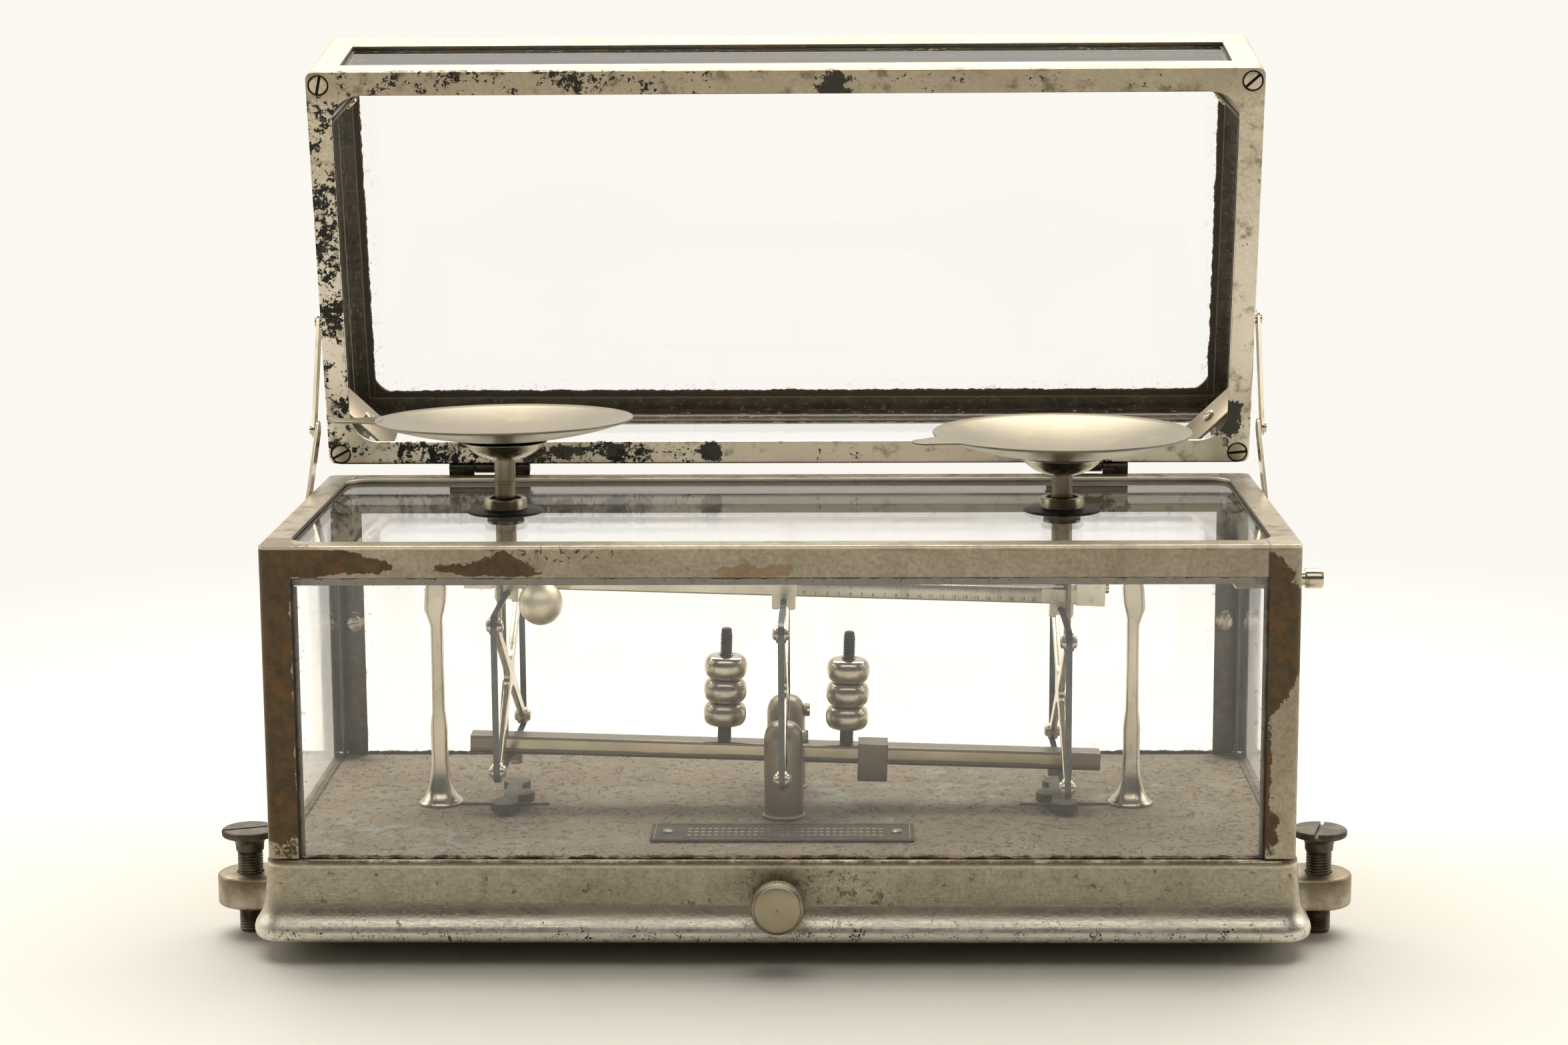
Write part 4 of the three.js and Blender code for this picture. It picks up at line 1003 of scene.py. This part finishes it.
def truss(mesh):
    """X-shaped plate with filleted crossing, and a capped boss at each end."""
    slope = math.atan2(BOSS[1], BOSS[0])
    reach = math.hypot(*BOSS)
    outline = []
    ends = (slope, math.pi - slope, math.pi + slope, -slope)
    for index, angle in enumerate(ends):
        along_arm = Vector((math.cos(angle), math.sin(angle)))
        across = Vector((-along_arm.y, along_arm.x))
        following = ends[(index + 1) % 4]
        outline.append(along_arm * reach - across * 1.7)
        outline.append(along_arm * reach + across * 1.7)
        half = ((following - angle) % (2 * math.pi)) / 2
        crotch = angle + half
        outline.append(Vector((math.cos(crotch), math.sin(crotch))) * 2.7 / math.sin(half))
    outline = eased([tuple(point) for point in outline], [0.8, 0.8, 9] * 4, 6)
    prism(mesh, outline, -1.25, 1.25, BAND_MIDDLE @ YZ, 0.3)
    for y in (-BOSS[0], BOSS[0]):
        for z in (-BOSS[1], BOSS[1]):
            profile = [
                (0, -3.4), (1.3, -3.3), (2.1, -2.9), (2.4, -2.3), (2.4, -1.95), (3.3, -1.9), (3.45, -1.7),
                (3.45, 1.7),
                (3.3, 1.9), (2.4, 1.95), (2.4, 2.3), (2.1, 2.9), (1.3, 3.3), (0, 3.4),
            ]
            lathe(mesh, profile, 28, BAND_MIDDLE @ along("+x", 0, y, z))


def torsion_band(mesh):
    outer = rounded(100.5, 65.1, 4.25, steps=8)
    inner = rounded(99.5, 64.1, 3.75, steps=8)
    hoop(mesh, outer, inner, -1.2, 1.2, BAND_MIDDLE @ YZ)


def pan_support(mesh, side):
    profile = [
        (0, -22), (3.9, -22), (4, -21.6), (4, 6.6), (4.2, 6.8), (4.2, 7.6), (4, 7.8), (4, 16.0),
        (4.4, 16.25),
        (6.2, 16.35), (7.2, 16.6), (8.8, 17.2), (10.6, 18.0), (12.2, 19.0), (14, 20.5), (15.6, 22.3),
        (16.5, 22.85),
        (16.8, 23.1), (16.8, 23.25), (16.6, 23.4), (16.0, 23.4), (15.6, 23.2), (13.4, 21.6), (11, 20.0),
        (8, 19.2),
        (4, 18.7), (0, 18.6),
    ]
    lathe(mesh, profile, 64)
    block(mesh, (-3.4, -9.6, -26), (3.4, 9.6, -21), edge=0.7)
    for y in (-1, 1):
        upper = smooth_path((
            (side * 2.5, y * 8, -24), (side * 2.5, y * 8.2, -32), (side * 2.5, y * 8.1, -42),
            (side * 2.4, y * 6.9, -51),
            (side * 2.1, y * 4.2, -59), (side * 1.7, y * 1.4, -65),
        ))
        lower = smooth_path((
            (side * 1.7, y * 1.2, -72), (side * 2.1, y * 4.2, -78.5), (side * 2.4, y * 7.0, -86.5),
            (side * 2.5, y * 8.3, -94), (side * 2.5, y * 8.3, -99),
        ))
        for path in (upper, lower):
            sweep(mesh, path, 0.85, 1.5)


def pan(mesh, depth, reach, turn):
    thickness = 0.9
    sphere = (50 ** 2 + depth ** 2) / (2 * depth)
    profile = []
    for step in range(25):
        radius = 49.6 * step / 24
        profile.append((radius, sphere - math.sqrt(sphere ** 2 - radius ** 2)))
    profile += [(50.0, depth + 0.05), (50.15, depth + 0.4), (50.0, depth + 0.75), (49.6, depth + 0.85)]
    for step in range(23, -1, -1):
        radius = 49.4 * step / 24
        profile.append((radius, sphere - math.sqrt(sphere ** 2 - radius ** 2) + thickness))
    lathe(mesh, profile, 144)
    right = [(47.6, -11)]
    for step in range(1, 9):
        t = step / 8
        x = 47.6 * (1 - t) ** 2 + 2 * 53 * t * (1 - t) + (reach - 5) * t ** 2
        y = -(11 * (1 - t) ** 2 + 2 * 7.5 * t * (1 - t) + 6 * t ** 2)
        right.append((x, y))
    tip = []
    for step in range(1, 12):
        angle = -math.pi / 2 + math.pi * step / 12
        tip.append((reach - 5 + 5 * math.cos(angle), 6 * math.sin(angle)))
    outline = right + tip + [(x, -y) for x, y in reversed(right)]
    tab = bmesh.new()
    prism(tab, outline, depth - 0.05, depth + 0.75, Matrix.Rotation(turn, 4, "Z"), 0.18)
    combine(mesh, "UNION", tab)


PAN_FRAMES = {
    "left": STAND["left"] @ moved((0, 0, 23.2))
    @ Matrix.Rotation(math.radians(-1.5), 4, "X") @ Matrix.Rotation(math.radians(-0.4), 4, "Y"),
    "right": STAND["right"] @ moved((0, 0, 22.65)),
}
PAN_TABS = {"left": (8, 67, math.pi), "right": (9.5, 64, math.radians(205))}


def stands_and_pans():
    for name, side in SIDES:
        at = STAND[name]
        mesh = bmesh.new()
        truss(mesh)
        detail(f"{name}_truss", mesh, at, f"{name}_stand", "works_nickel", 40)
        mesh = bmesh.new()
        torsion_band(mesh)
        detail(f"{name}_band", mesh, at, f"{name}_stand", "band_steel", 30)
        mesh = bmesh.new()
        pan_support(mesh, side)
        detail(f"{name}_pan_support", mesh, at, f"{name}_stand", "works_nickel", 40)
        mesh = bmesh.new()
        pan(mesh, *PAN_TABS[name])
        detail(f"{name}_pan", mesh, PAN_FRAMES[name], f"{name}_dish", "pan_nickel", 50)
    mesh = bmesh.new()
    truss(mesh)
    detail("centre_truss", mesh, CASE, "case", "works_nickel", 40)
    mesh = bmesh.new()
    torsion_band(mesh)
    detail("centre_band", mesh, CASE, "case", "band_steel", 30)


# ---- Beams and what they carry ----
def beams():
    eased_copy("upper_beam", "top_beam", 0.35, 50)
    eased_copy("lower_beam", "bottom_beam", 0.4, 50)
    eased_copy("beam_slider", "slider", 0.5, 50)
    mesh = bmesh.new()
    for x in (-TRUSS_X, 0, TRUSS_X):
        for step in (-3.1, 3.1):
            lathe(
                mesh, [(0, 0.1), (1.55, 0.1), (1.55, 1.3), (1.3, 1.6), (0, 1.7)], 24,
                along("-z", x + step, 0, -2.2), knurl((2,), 0.08, 16),
            )
    piece("upper_clamp_screws", mesh, UPPER, "top_beam", (), 35)
    mesh = bmesh.new()
    for x in (-TRUSS_X, TRUSS_X):
        screw_head(mesh, 2.5, 2.1, along("-z", x + 2.2, 0, -2.1), 0.6)
    piece("lower_clamp_screws", mesh, LOWER, "bottom_beam", (), 35)
    mesh = bmesh.new()
    profile = [(0, -8.5)]
    for step in range(1, 40):
        angle = -math.pi / 2 + math.pi * step / 40
        profile.append((8.5 * math.cos(angle), 8.5 * math.sin(angle)))
    profile.append((0, 8.5))
    lathe(mesh, profile, 64, moved((-93.1, -20, -0.1)))
    lathe(mesh, [(0, 0), (1.5, 0), (1.5, 10.7), (0, 10.7)], 20, along("+y", -93.1, -15, 3.6))
    detail("ball_weight", mesh, UPPER, "ball", "works_nickel", 40)
    scale_plate()


def scale_plate():
    mesh = bmesh.new()
    block(mesh, (5, -5.1, 2.8), (100, -4.3, 8.4), edge=0.12)
    detail("scale_plate", mesh, UPPER, "top_beam", "scale_silver", 40)
    mesh = bmesh.new()
    for number in range(0, 21):
        text = bpy.data.curves.new("number", "FONT")
        text.body = str(number)
        text.size = 2.1
        text.align_x = "CENTER"
        text.extrude = 0.04
        holder = in_scene("number", text)
        depsgraph = bpy.context.evaluated_depsgraph_get()
        shape = bpy.data.meshes.new_from_object(holder.evaluated_get(depsgraph))
        turn = Matrix.Rotation(math.pi / 2, 4, "X")
        shape.transform(moved((8 + 4.45 * number, -5.12, 3.2)) @ turn)
        mesh.from_mesh(shape)
        bpy.data.objects.remove(holder)
        bpy.data.meshes.remove(shape)
    for mark in range(0, 101):
        x = 8 + 0.89 * mark
        tall = 1.9 if mark % 5 == 0 else 1.1
        block(mesh, (x - 0.07, -5.15, 8.2 - tall), (x + 0.07, -5.05, 8.2), edge=0.01)
    piece("scale_numbers", mesh, UPPER, "top_beam", (), 40)


def rider_rod():
    mesh = bmesh.new()
    profile = [
        (0, 30), (1.3, 30), (1.6, 30.4), (1.6, 171.6), (2.2, 172), (3.7, 173), (3.95, 173.4),
        (3.95, 196.3), (3.7, 196.9),
        (3.0, 197.1), (3.0, 199.3), (3.7, 199.5), (3.95, 200.1), (3.95, 205.5), (3.7, 206.1),
        (3.2, 206.35), (2.2, 206.4),
        (1.9, 206.0), (0, 205.8),
    ]
    lathe(mesh, profile, 48, along("+x", 0, -20, -24.4))
    detail("rider_rod", mesh, CASE, "rider", "works_nickel", 40)
    mesh = bmesh.new()
    lathe(mesh, [(4.3, 188.5), (6.4, 188.5), (6.4, 190.2), (6.1, 190.7), (5.0, 191.2), (4.3, 191.2)], 48,
          along("+x", 0, -20, -24.4))
    piece("rider_bush", mesh, CASE, "case", (), 40)


def collars():
    for name, side in SIDES:
        mesh = bmesh.new()
        profile = [
            (6.25, -5.5), (7.2, -5.5), (7.2, -1.5), (14.6, -1.5), (15, -1.3), (15, -1.0), (14.7, -0.75),
            (12.8, -0.55),
            (9.6, -0.3), (8.5, 0.0), (8.3, 0.5), (8.3, 3.6), (8.0, 4.05), (7.6, 4.2), (6.6, 4.2),
            (6.25, 3.9),
        ]
        lathe(mesh, profile, 72, moved((side * TRUSS_X, 0, 0)))
        detail(f"{name}_collar", mesh, CASE, "case", "blackened_brass", 35)


# ---- Case, lid, hinges and stays ----
def case_details():
    eased_copy("case_frame", "case", 0.55, 40)
    mesh = bmesh.new()
    for y, depth in ((-77.6, 0.8), (76.8, 0.8)):
        block(mesh, (-177.9, y, -15.4), (177.9, y + depth, -4.4), edge=0.25)
    for x in (-186, 185.2):
        block(mesh, (x, -75.8, -15.4), (x + 0.8, 75.8, -4.4), edge=0.25)
    for x in (-1, 1):
        for y in (-1, 1):
            low, high = sorted((x * 185.2, x * 176.6))
            near, far = sorted((y * 77.6, y * 76.8))
            block(mesh, (low, near, FLOOR + 0.3), (high, far, -15.7), edge=0.2)
            low, high = sorted((x * 186, x * 185.4))
            near, far = sorted((y * 76.5, y * 69))
            block(mesh, (low, near, FLOOR + 0.3), (high, far, -15.7), edge=0.2)
    piece("case_inner_strips", mesh, CASE, "case", (), 40)
    mesh = bmesh.new()
    for x, turn in ((-180.6, 0.15), (181.1, 1.2)):
        lathe(mesh, [(0, 0), (4.2, 0), (4.2, 0.4), (3.9, 0.6), (0, 0.6)], 32, along("-y", x, 76.8, -61))
        screw_head(mesh, 3.1, 2.2, along("-y", x, 76.3, -61), turn)
    piece("post_screws", mesh, CASE, "case", (), 35)
    mesh = bmesh.new()
    prism(mesh, rounded(100, 23.8, 1.6, (0, -46.4)), FLOOR + 0.3, FLOOR + 1.1, edge=0.2)
    rim = 0.7
    hoop(
        mesh, rounded(97, 20.8, 1.0, (0, -46.4)), rounded(97 - rim, 20.8 - rim, 0.7, (0, -46.4)),
        FLOOR + 1.0, FLOOR + 1.25, Matrix.Identity(4),
    )
    for row in range(3):
        for column in range(30):
            x = -36 + 2.5 * column
            block(
                mesh, (x, -52.2 + 4.4 * row, FLOOR + 1.0), (x + 1.7, -50.7 + 4.4 * row, FLOOR + 1.2),
                edge=0.06,
            )
    for x in (-43.5, 43.5):
        lathe(
            mesh, [
                (0, FLOOR + 1), (2.2, FLOOR + 1), (2.1, FLOOR + 1.6), (1.4, FLOOR + 2.1),
                (0, FLOOR + 2.25),
            ], 28,
            moved((x, -47, 0)),
        )
    detail("nameplate", mesh, CASE, "case", "works_nickel", 35)


def lid_details():
    screws = ((-185, -6.7, 0.5), (185, -6.7, 0.1), (-185, -161.9, 1.35), (185, -161.9, 0.75))
    recesses = []
    mesh = bmesh.new()
    for x, y, turn in screws:
        recess = bmesh.new()
        lathe(recess, [(0, -4), (3.95, -4), (3.95, -1.1), (0, -1.1)], 48, moved((x, y, 0)))
        recess.transform(LID)
        recesses.append(recess)
        screw_head(mesh, 3.6, 1.1, along("-z", x, y, -1.2), turn, 0.9)
    eased_copy("lid_frame", "lid", 0.35, 40, recesses)
    piece("lid_rim_screws", mesh, LID, "lid", (), 35)
    mesh = bmesh.new()
    screws = bmesh.new()
    for x in (-1, 1):
        for y, sign in ((-6.4, -1), (-163, 1)):
            corner = Vector((x * 185.9, y))
            turn = math.atan2(sign, -x)
            at = moved((corner.x, corner.y, 0)) @ Matrix.Rotation(turn, 4, "Z")
            block(mesh, (14.6, -14.4, 0.2), (15.8, 14.4, 24), at, 0.4)
            screw_head(screws, 2.7, 1.6, at @ along("+x", 15.7, 0, 12), 0.6)
    piece("lid_corner_brackets", mesh, LID, "lid", (), 40)
    piece("lid_bracket_screws", screws, LID, "lid", (), 35)


def hinges_and_stays():
    for name, _ in SIDES:
        eased_copy(f"{name}_hinge_case_leaf", "case", 0.25, 40)
        eased_copy(f"{name}_hinge_lid_leaf", "lid", 0.25, 40)
        eased_copy(f"{name}_stay_lower", f"{name}_lower_link", 0.3, 45)
        eased_copy(f"{name}_stay_upper", f"{name}_upper_link", 0.3, 45)
        eased_copy(f"{name}_arrest_pad", "lifter", 0.3, 45)
    eased_copy("arrest_shaft", "knob", 0.3, 45)
    eased_copy("lifting_bar", "lifter", 0.3, 45)


base_piece()
for one_side in SIDES:
    levelling_screw(one_side)
    stop_post(one_side)
rear_foot()
knob_piece()
rods_and_nuts()
pillar_piece("front", -20, 0.35)
pillar_piece("rear", 25, 1.45)
stands_and_pans()
beams()
rider_rod()
collars()
case_details()
lid_details()
hinges_and_stays()

# ---- Finishes on their pieces ----
WORKS = works_metal()
STEEL = dark_metal("dark_steel", 0x4A463C, 0x807761, wear=0.5)
FINISHES = {
    "base": base_metal(),
    "case_frame_eased": case_metal(),
    "lid_frame_eased": lid_metal(),
    "left_pan_detail": pan_metal("left_pan_metal", (-107.95, 0, 27)),
    "right_pan_detail": pan_metal("right_pan_metal", (107.95, 0, 20)),
    "arrest_knob_detail": works_metal("knob_metal", 0xB8AE96, 0x978D78, 0.2, 0.34),
    "scale_plate_detail": works_metal("scale_metal", 0xC2BBAA, 0xA79E8A, 0.05, 0.3),
    "case_inner_strips": dark_metal("strip_metal", 0x6B6455, 0x8C8472, wear=0.6),
    "lid_corner_brackets": works_metal("bracket_metal", 0x968B76, 0x746A55, 0.25, 0.42),
    "lid_rim_screws": rim_screw_metal(),
    "nameplate_detail": plate_metal(),
    "ball_weight_detail": works_metal("ball_metal", 0xF2E8CF, 0xE0D5B8, 0.1, 0.42),
    "front_pillar_detail": works_metal("front_pillar_metal", 0x978C78, 0x7B705C, 0.12, 0.36),
    "rear_pillar_detail": works_metal("rear_pillar_metal", 0x978C78, 0x7B705C, 0.12, 0.36),
    "lower_beam_eased": beam_metal(),
    "beam_slider_eased": works_metal("slider_metal", 0x786E5A, 0x625946, 0.12, 0.3),
    "scale_numbers": dark_metal("ink", 0x26221C, 0x3A352C, metal=0.0, rough=0.6),
}
for name, _ in SIDES:
    FINISHES[f"{name}_levelling_screw_detail"] = dark_metal(
        f"{name}_screw_steel", 0x4E4A3F, 0x8F8772, wear=0.6,
    )
    FINISHES[f"{name}_pan_support_detail"] = works_metal(
        f"{name}_support_metal", 0x8F8571, 0x6F6552, 0.12, 0.26,
    )
    FINISHES[f"{name}_band_detail"] = dark_metal(f"{name}_band_metal", 0x565A58, 0x85867D, rough=0.4)
    FINISHES[f"{name}_collar_detail"] = collar_metal(f"{name}_collar_metal")
    FINISHES[f"{name}_poise_rod_detail"] = dark_metal(f"{name}_rod_metal", 0x332F2A, 0x5A5245, rough=0.45)
    FINISHES[f"{name}_arrest_pad_eased"] = dark_metal(f"{name}_pad_metal", 0x5C5444, 0x463E30, 0.35, 0.6)
    for part in ("case_leaf", "lid_leaf"):
        FINISHES[f"{name}_hinge_{part}_eased"] = dark_metal(
            f"{name}_{part}_metal", 0x3A3A2E, 0x7A705A, wear=0.5,
        )
FINISHES["centre_band_detail"] = dark_metal("centre_band_metal", 0x565A58, 0x85867D, rough=0.4)
for name in ("arrest_shaft_eased", "lifting_bar_eased", "rear_foot_detail"):
    FINISHES[name] = STEEL
for name, made in PIECES.items():
    made.data.materials.clear()
    made.data.materials.append(FINISHES.get(name, WORKS))

PANES = {
    # pane: its frame, the low and high corners of its opening, haze, crust along the edge
    "front_glass": (CASE, (-178, -81, -118), (178, -77, -12), 0.04, 0.3),
    "rear_glass": (CASE, (-178, 77, -118), (178, 81, -12), 0.04, 0.7),
    "left_glass": (CASE, (-189, -70, -118), (-185, 70, -12), 0.06, 0.4),
    "right_glass": (CASE, (185, -70, -118), (189, 70, -12), 0.06, 0.4),
    "top_glass": (CASE, (-180, -72, -4), (180, 72, -1), 0.05, 0.35),
    "lid_top_glass": (LID, (-180.5, -157.5, 58), (180.5, -11.9, 62), 0.004, 1.5),
    "lid_front_glass": (LID, (-178, -166, 11.3), (178, -162, 47.1), 0.03, 0.5),
    "lid_rear_glass": (LID, (-178, -7, 11.3), (178, -3, 47.1), 0.03, 0.5),
    "lid_left_glass": (LID, (-189, -155, 11.3), (-185, -14.4, 47.1), 0.04, 0.5),
    "lid_right_glass": (LID, (185, -155, 11.3), (189, -14.4, 47.1), 0.04, 0.5),
}
for node, (at, low, high, haze, crust) in PANES.items():
    shine = {"top_glass": 0.75, "lid_top_glass": 0.3}.get(node, 1.0)
    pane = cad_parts[node]
    pane.data.materials.clear()
    pane.data.materials.append(glass(f"{node}_finish", at, low, high, haze, crust, shine))


# ---- Floor, light and camera ----
def floor_and_light():
    mesh = bmesh.new()
    bmesh.ops.create_circle(mesh, cap_ends=True, radius=4.0, segments=128)
    data = bpy.data.meshes.new("floor")
    mesh.to_mesh(data)
    mesh.free()
    floor = in_scene("floor", data)
    p = Paint("pale_floor", Matrix.Diagonal((MM, MM, MM, 1)))
    soft = p.ease(p.noise(300, 3, 0.5), 0.3, 0.7)
    reach = p.calc("SQRT", p.plus(p.product(p.x, p.x), p.product(p.y, p.y)))
    cream = p.blend(soft, 0xD2CFC6, 0xCFCCC2)
    floor.data.materials.append(p.done(cream, 0.0, 0.6, alpha=p.ease(reach, 800, 250)))
    world = bpy.data.worlds.new("studio")
    world.use_nodes = True
    nodes = world.node_tree.nodes
    links = world.node_tree.links
    nodes.clear()
    path = nodes.new("ShaderNodeLightPath")
    seen = nodes.new("ShaderNodeBackground")
    seen.inputs["Color"].default_value = (1.0, 0.972, 0.915, 1)
    seen.inputs["Strength"].default_value = 0.97
    lighting = nodes.new("ShaderNodeBackground")
    lighting.inputs["Color"].default_value = (1.0, 0.965, 0.9, 1)
    direction = nodes.new("ShaderNodeTexCoord")
    parts = nodes.new("ShaderNodeSeparateXYZ")
    links.new(direction.outputs["Generated"], parts.inputs[0])
    strength = nodes.new("ShaderNodeMapRange")
    strength.interpolation_type = "SMOOTHSTEP"
    for key, value in (("From Min", -0.1), ("From Max", 0.5), ("To Min", 0.04), ("To Max", 0.85)):
        strength.inputs[key].default_value = value
    links.new(parts.outputs["Y"], strength.inputs["Value"])
    upward = nodes.new("ShaderNodeMapRange")
    upward.interpolation_type = "SMOOTHSTEP"
    upward.inputs["From Min"].default_value = -0.12
    upward.inputs["From Max"].default_value = 0.06
    links.new(parts.outputs["Z"], upward.inputs["Value"])
    level = nodes.new("ShaderNodeMix")
    level.inputs[2].default_value = 1.05
    links.new(upward.outputs["Result"], level.inputs[0])
    links.new(strength.outputs["Result"], level.inputs[3])
    links.new(level.outputs[0], lighting.inputs["Strength"])
    mixed = nodes.new("ShaderNodeMixShader")
    out = nodes.new("ShaderNodeOutputWorld")
    links.new(path.outputs["Is Camera Ray"], mixed.inputs[0])
    links.new(lighting.outputs[0], mixed.inputs[1])
    links.new(seen.outputs[0], mixed.inputs[2])
    links.new(mixed.outputs[0], out.inputs[0])
    bpy.context.scene.world = world
    lamps = (
        # name, place, aimed at, width, depth, watts, lights matt surfaces too
        ("overhead", (0, 0.85, 1.75), (0, 0.1, 0), 3.0, 1.5, 84, True),
        ("backdrop", (0, 2.2, 0.9), (0, 0, 0.3), 3.4, 2.0, 3, True),
        ("left_fill", (-2.0, 0.2, 1.1), (0, 0, 0.2), 1.2, 1.2, 9, True),
        ("right_fill", (2.0, 0.2, 1.1), (0, 0, 0.2), 1.2, 1.2, 9, True),
        ("front_sheen", (0, -1.3, 1.6), (0, 0, 0.05), 3.0, 0.8, 14, False),
    )
    for name, place, aim, width, depth, watts, matt in lamps:
        data = bpy.data.lights.new(name, "AREA")
        data.shape = "RECTANGLE"
        data.size = width
        data.size_y = depth
        data.energy = watts
        data.color = (1.0, 0.965, 0.91)
        lamp = in_scene(name, data)
        lamp.location = place
        lamp.rotation_euler = (Vector(aim) - Vector(place)).to_track_quat("-Z", "Y").to_euler()
        lamp.visible_camera = False
        lamp.visible_diffuse = matt
    view = bpy.context.scene.view_settings
    view.view_transform = "Standard"
    view.look = "None"


def camera():
    yaw, pitch, roll = math.radians(-1.33), math.radians(10.0), -0.006
    forward = Vector((math.sin(yaw) * math.cos(pitch), math.cos(yaw) * math.cos(pitch), -math.sin(pitch)))
    right = Vector((math.cos(yaw), -math.sin(yaw), 0))
    up = right.cross(forward)
    right, up = (
        math.cos(roll) * right + math.sin(roll) * up,
        math.cos(roll) * up - math.sin(roll) * right,
    )
    data = bpy.data.cameras.new("camera")
    data.lens = 73.0
    data.sensor_width = 36
    data.clip_start = 0.05
    data.clip_end = 50
    holder = in_scene("camera", data)
    turn = Matrix((right, up, -forward)).transposed().to_4x4()
    holder.matrix_world = moved((0.028466, -1.239952, 0.364045)) @ turn
    bpy.context.scene.camera = holder


floor_and_light()
camera()

bpy.context.view_layer.update()
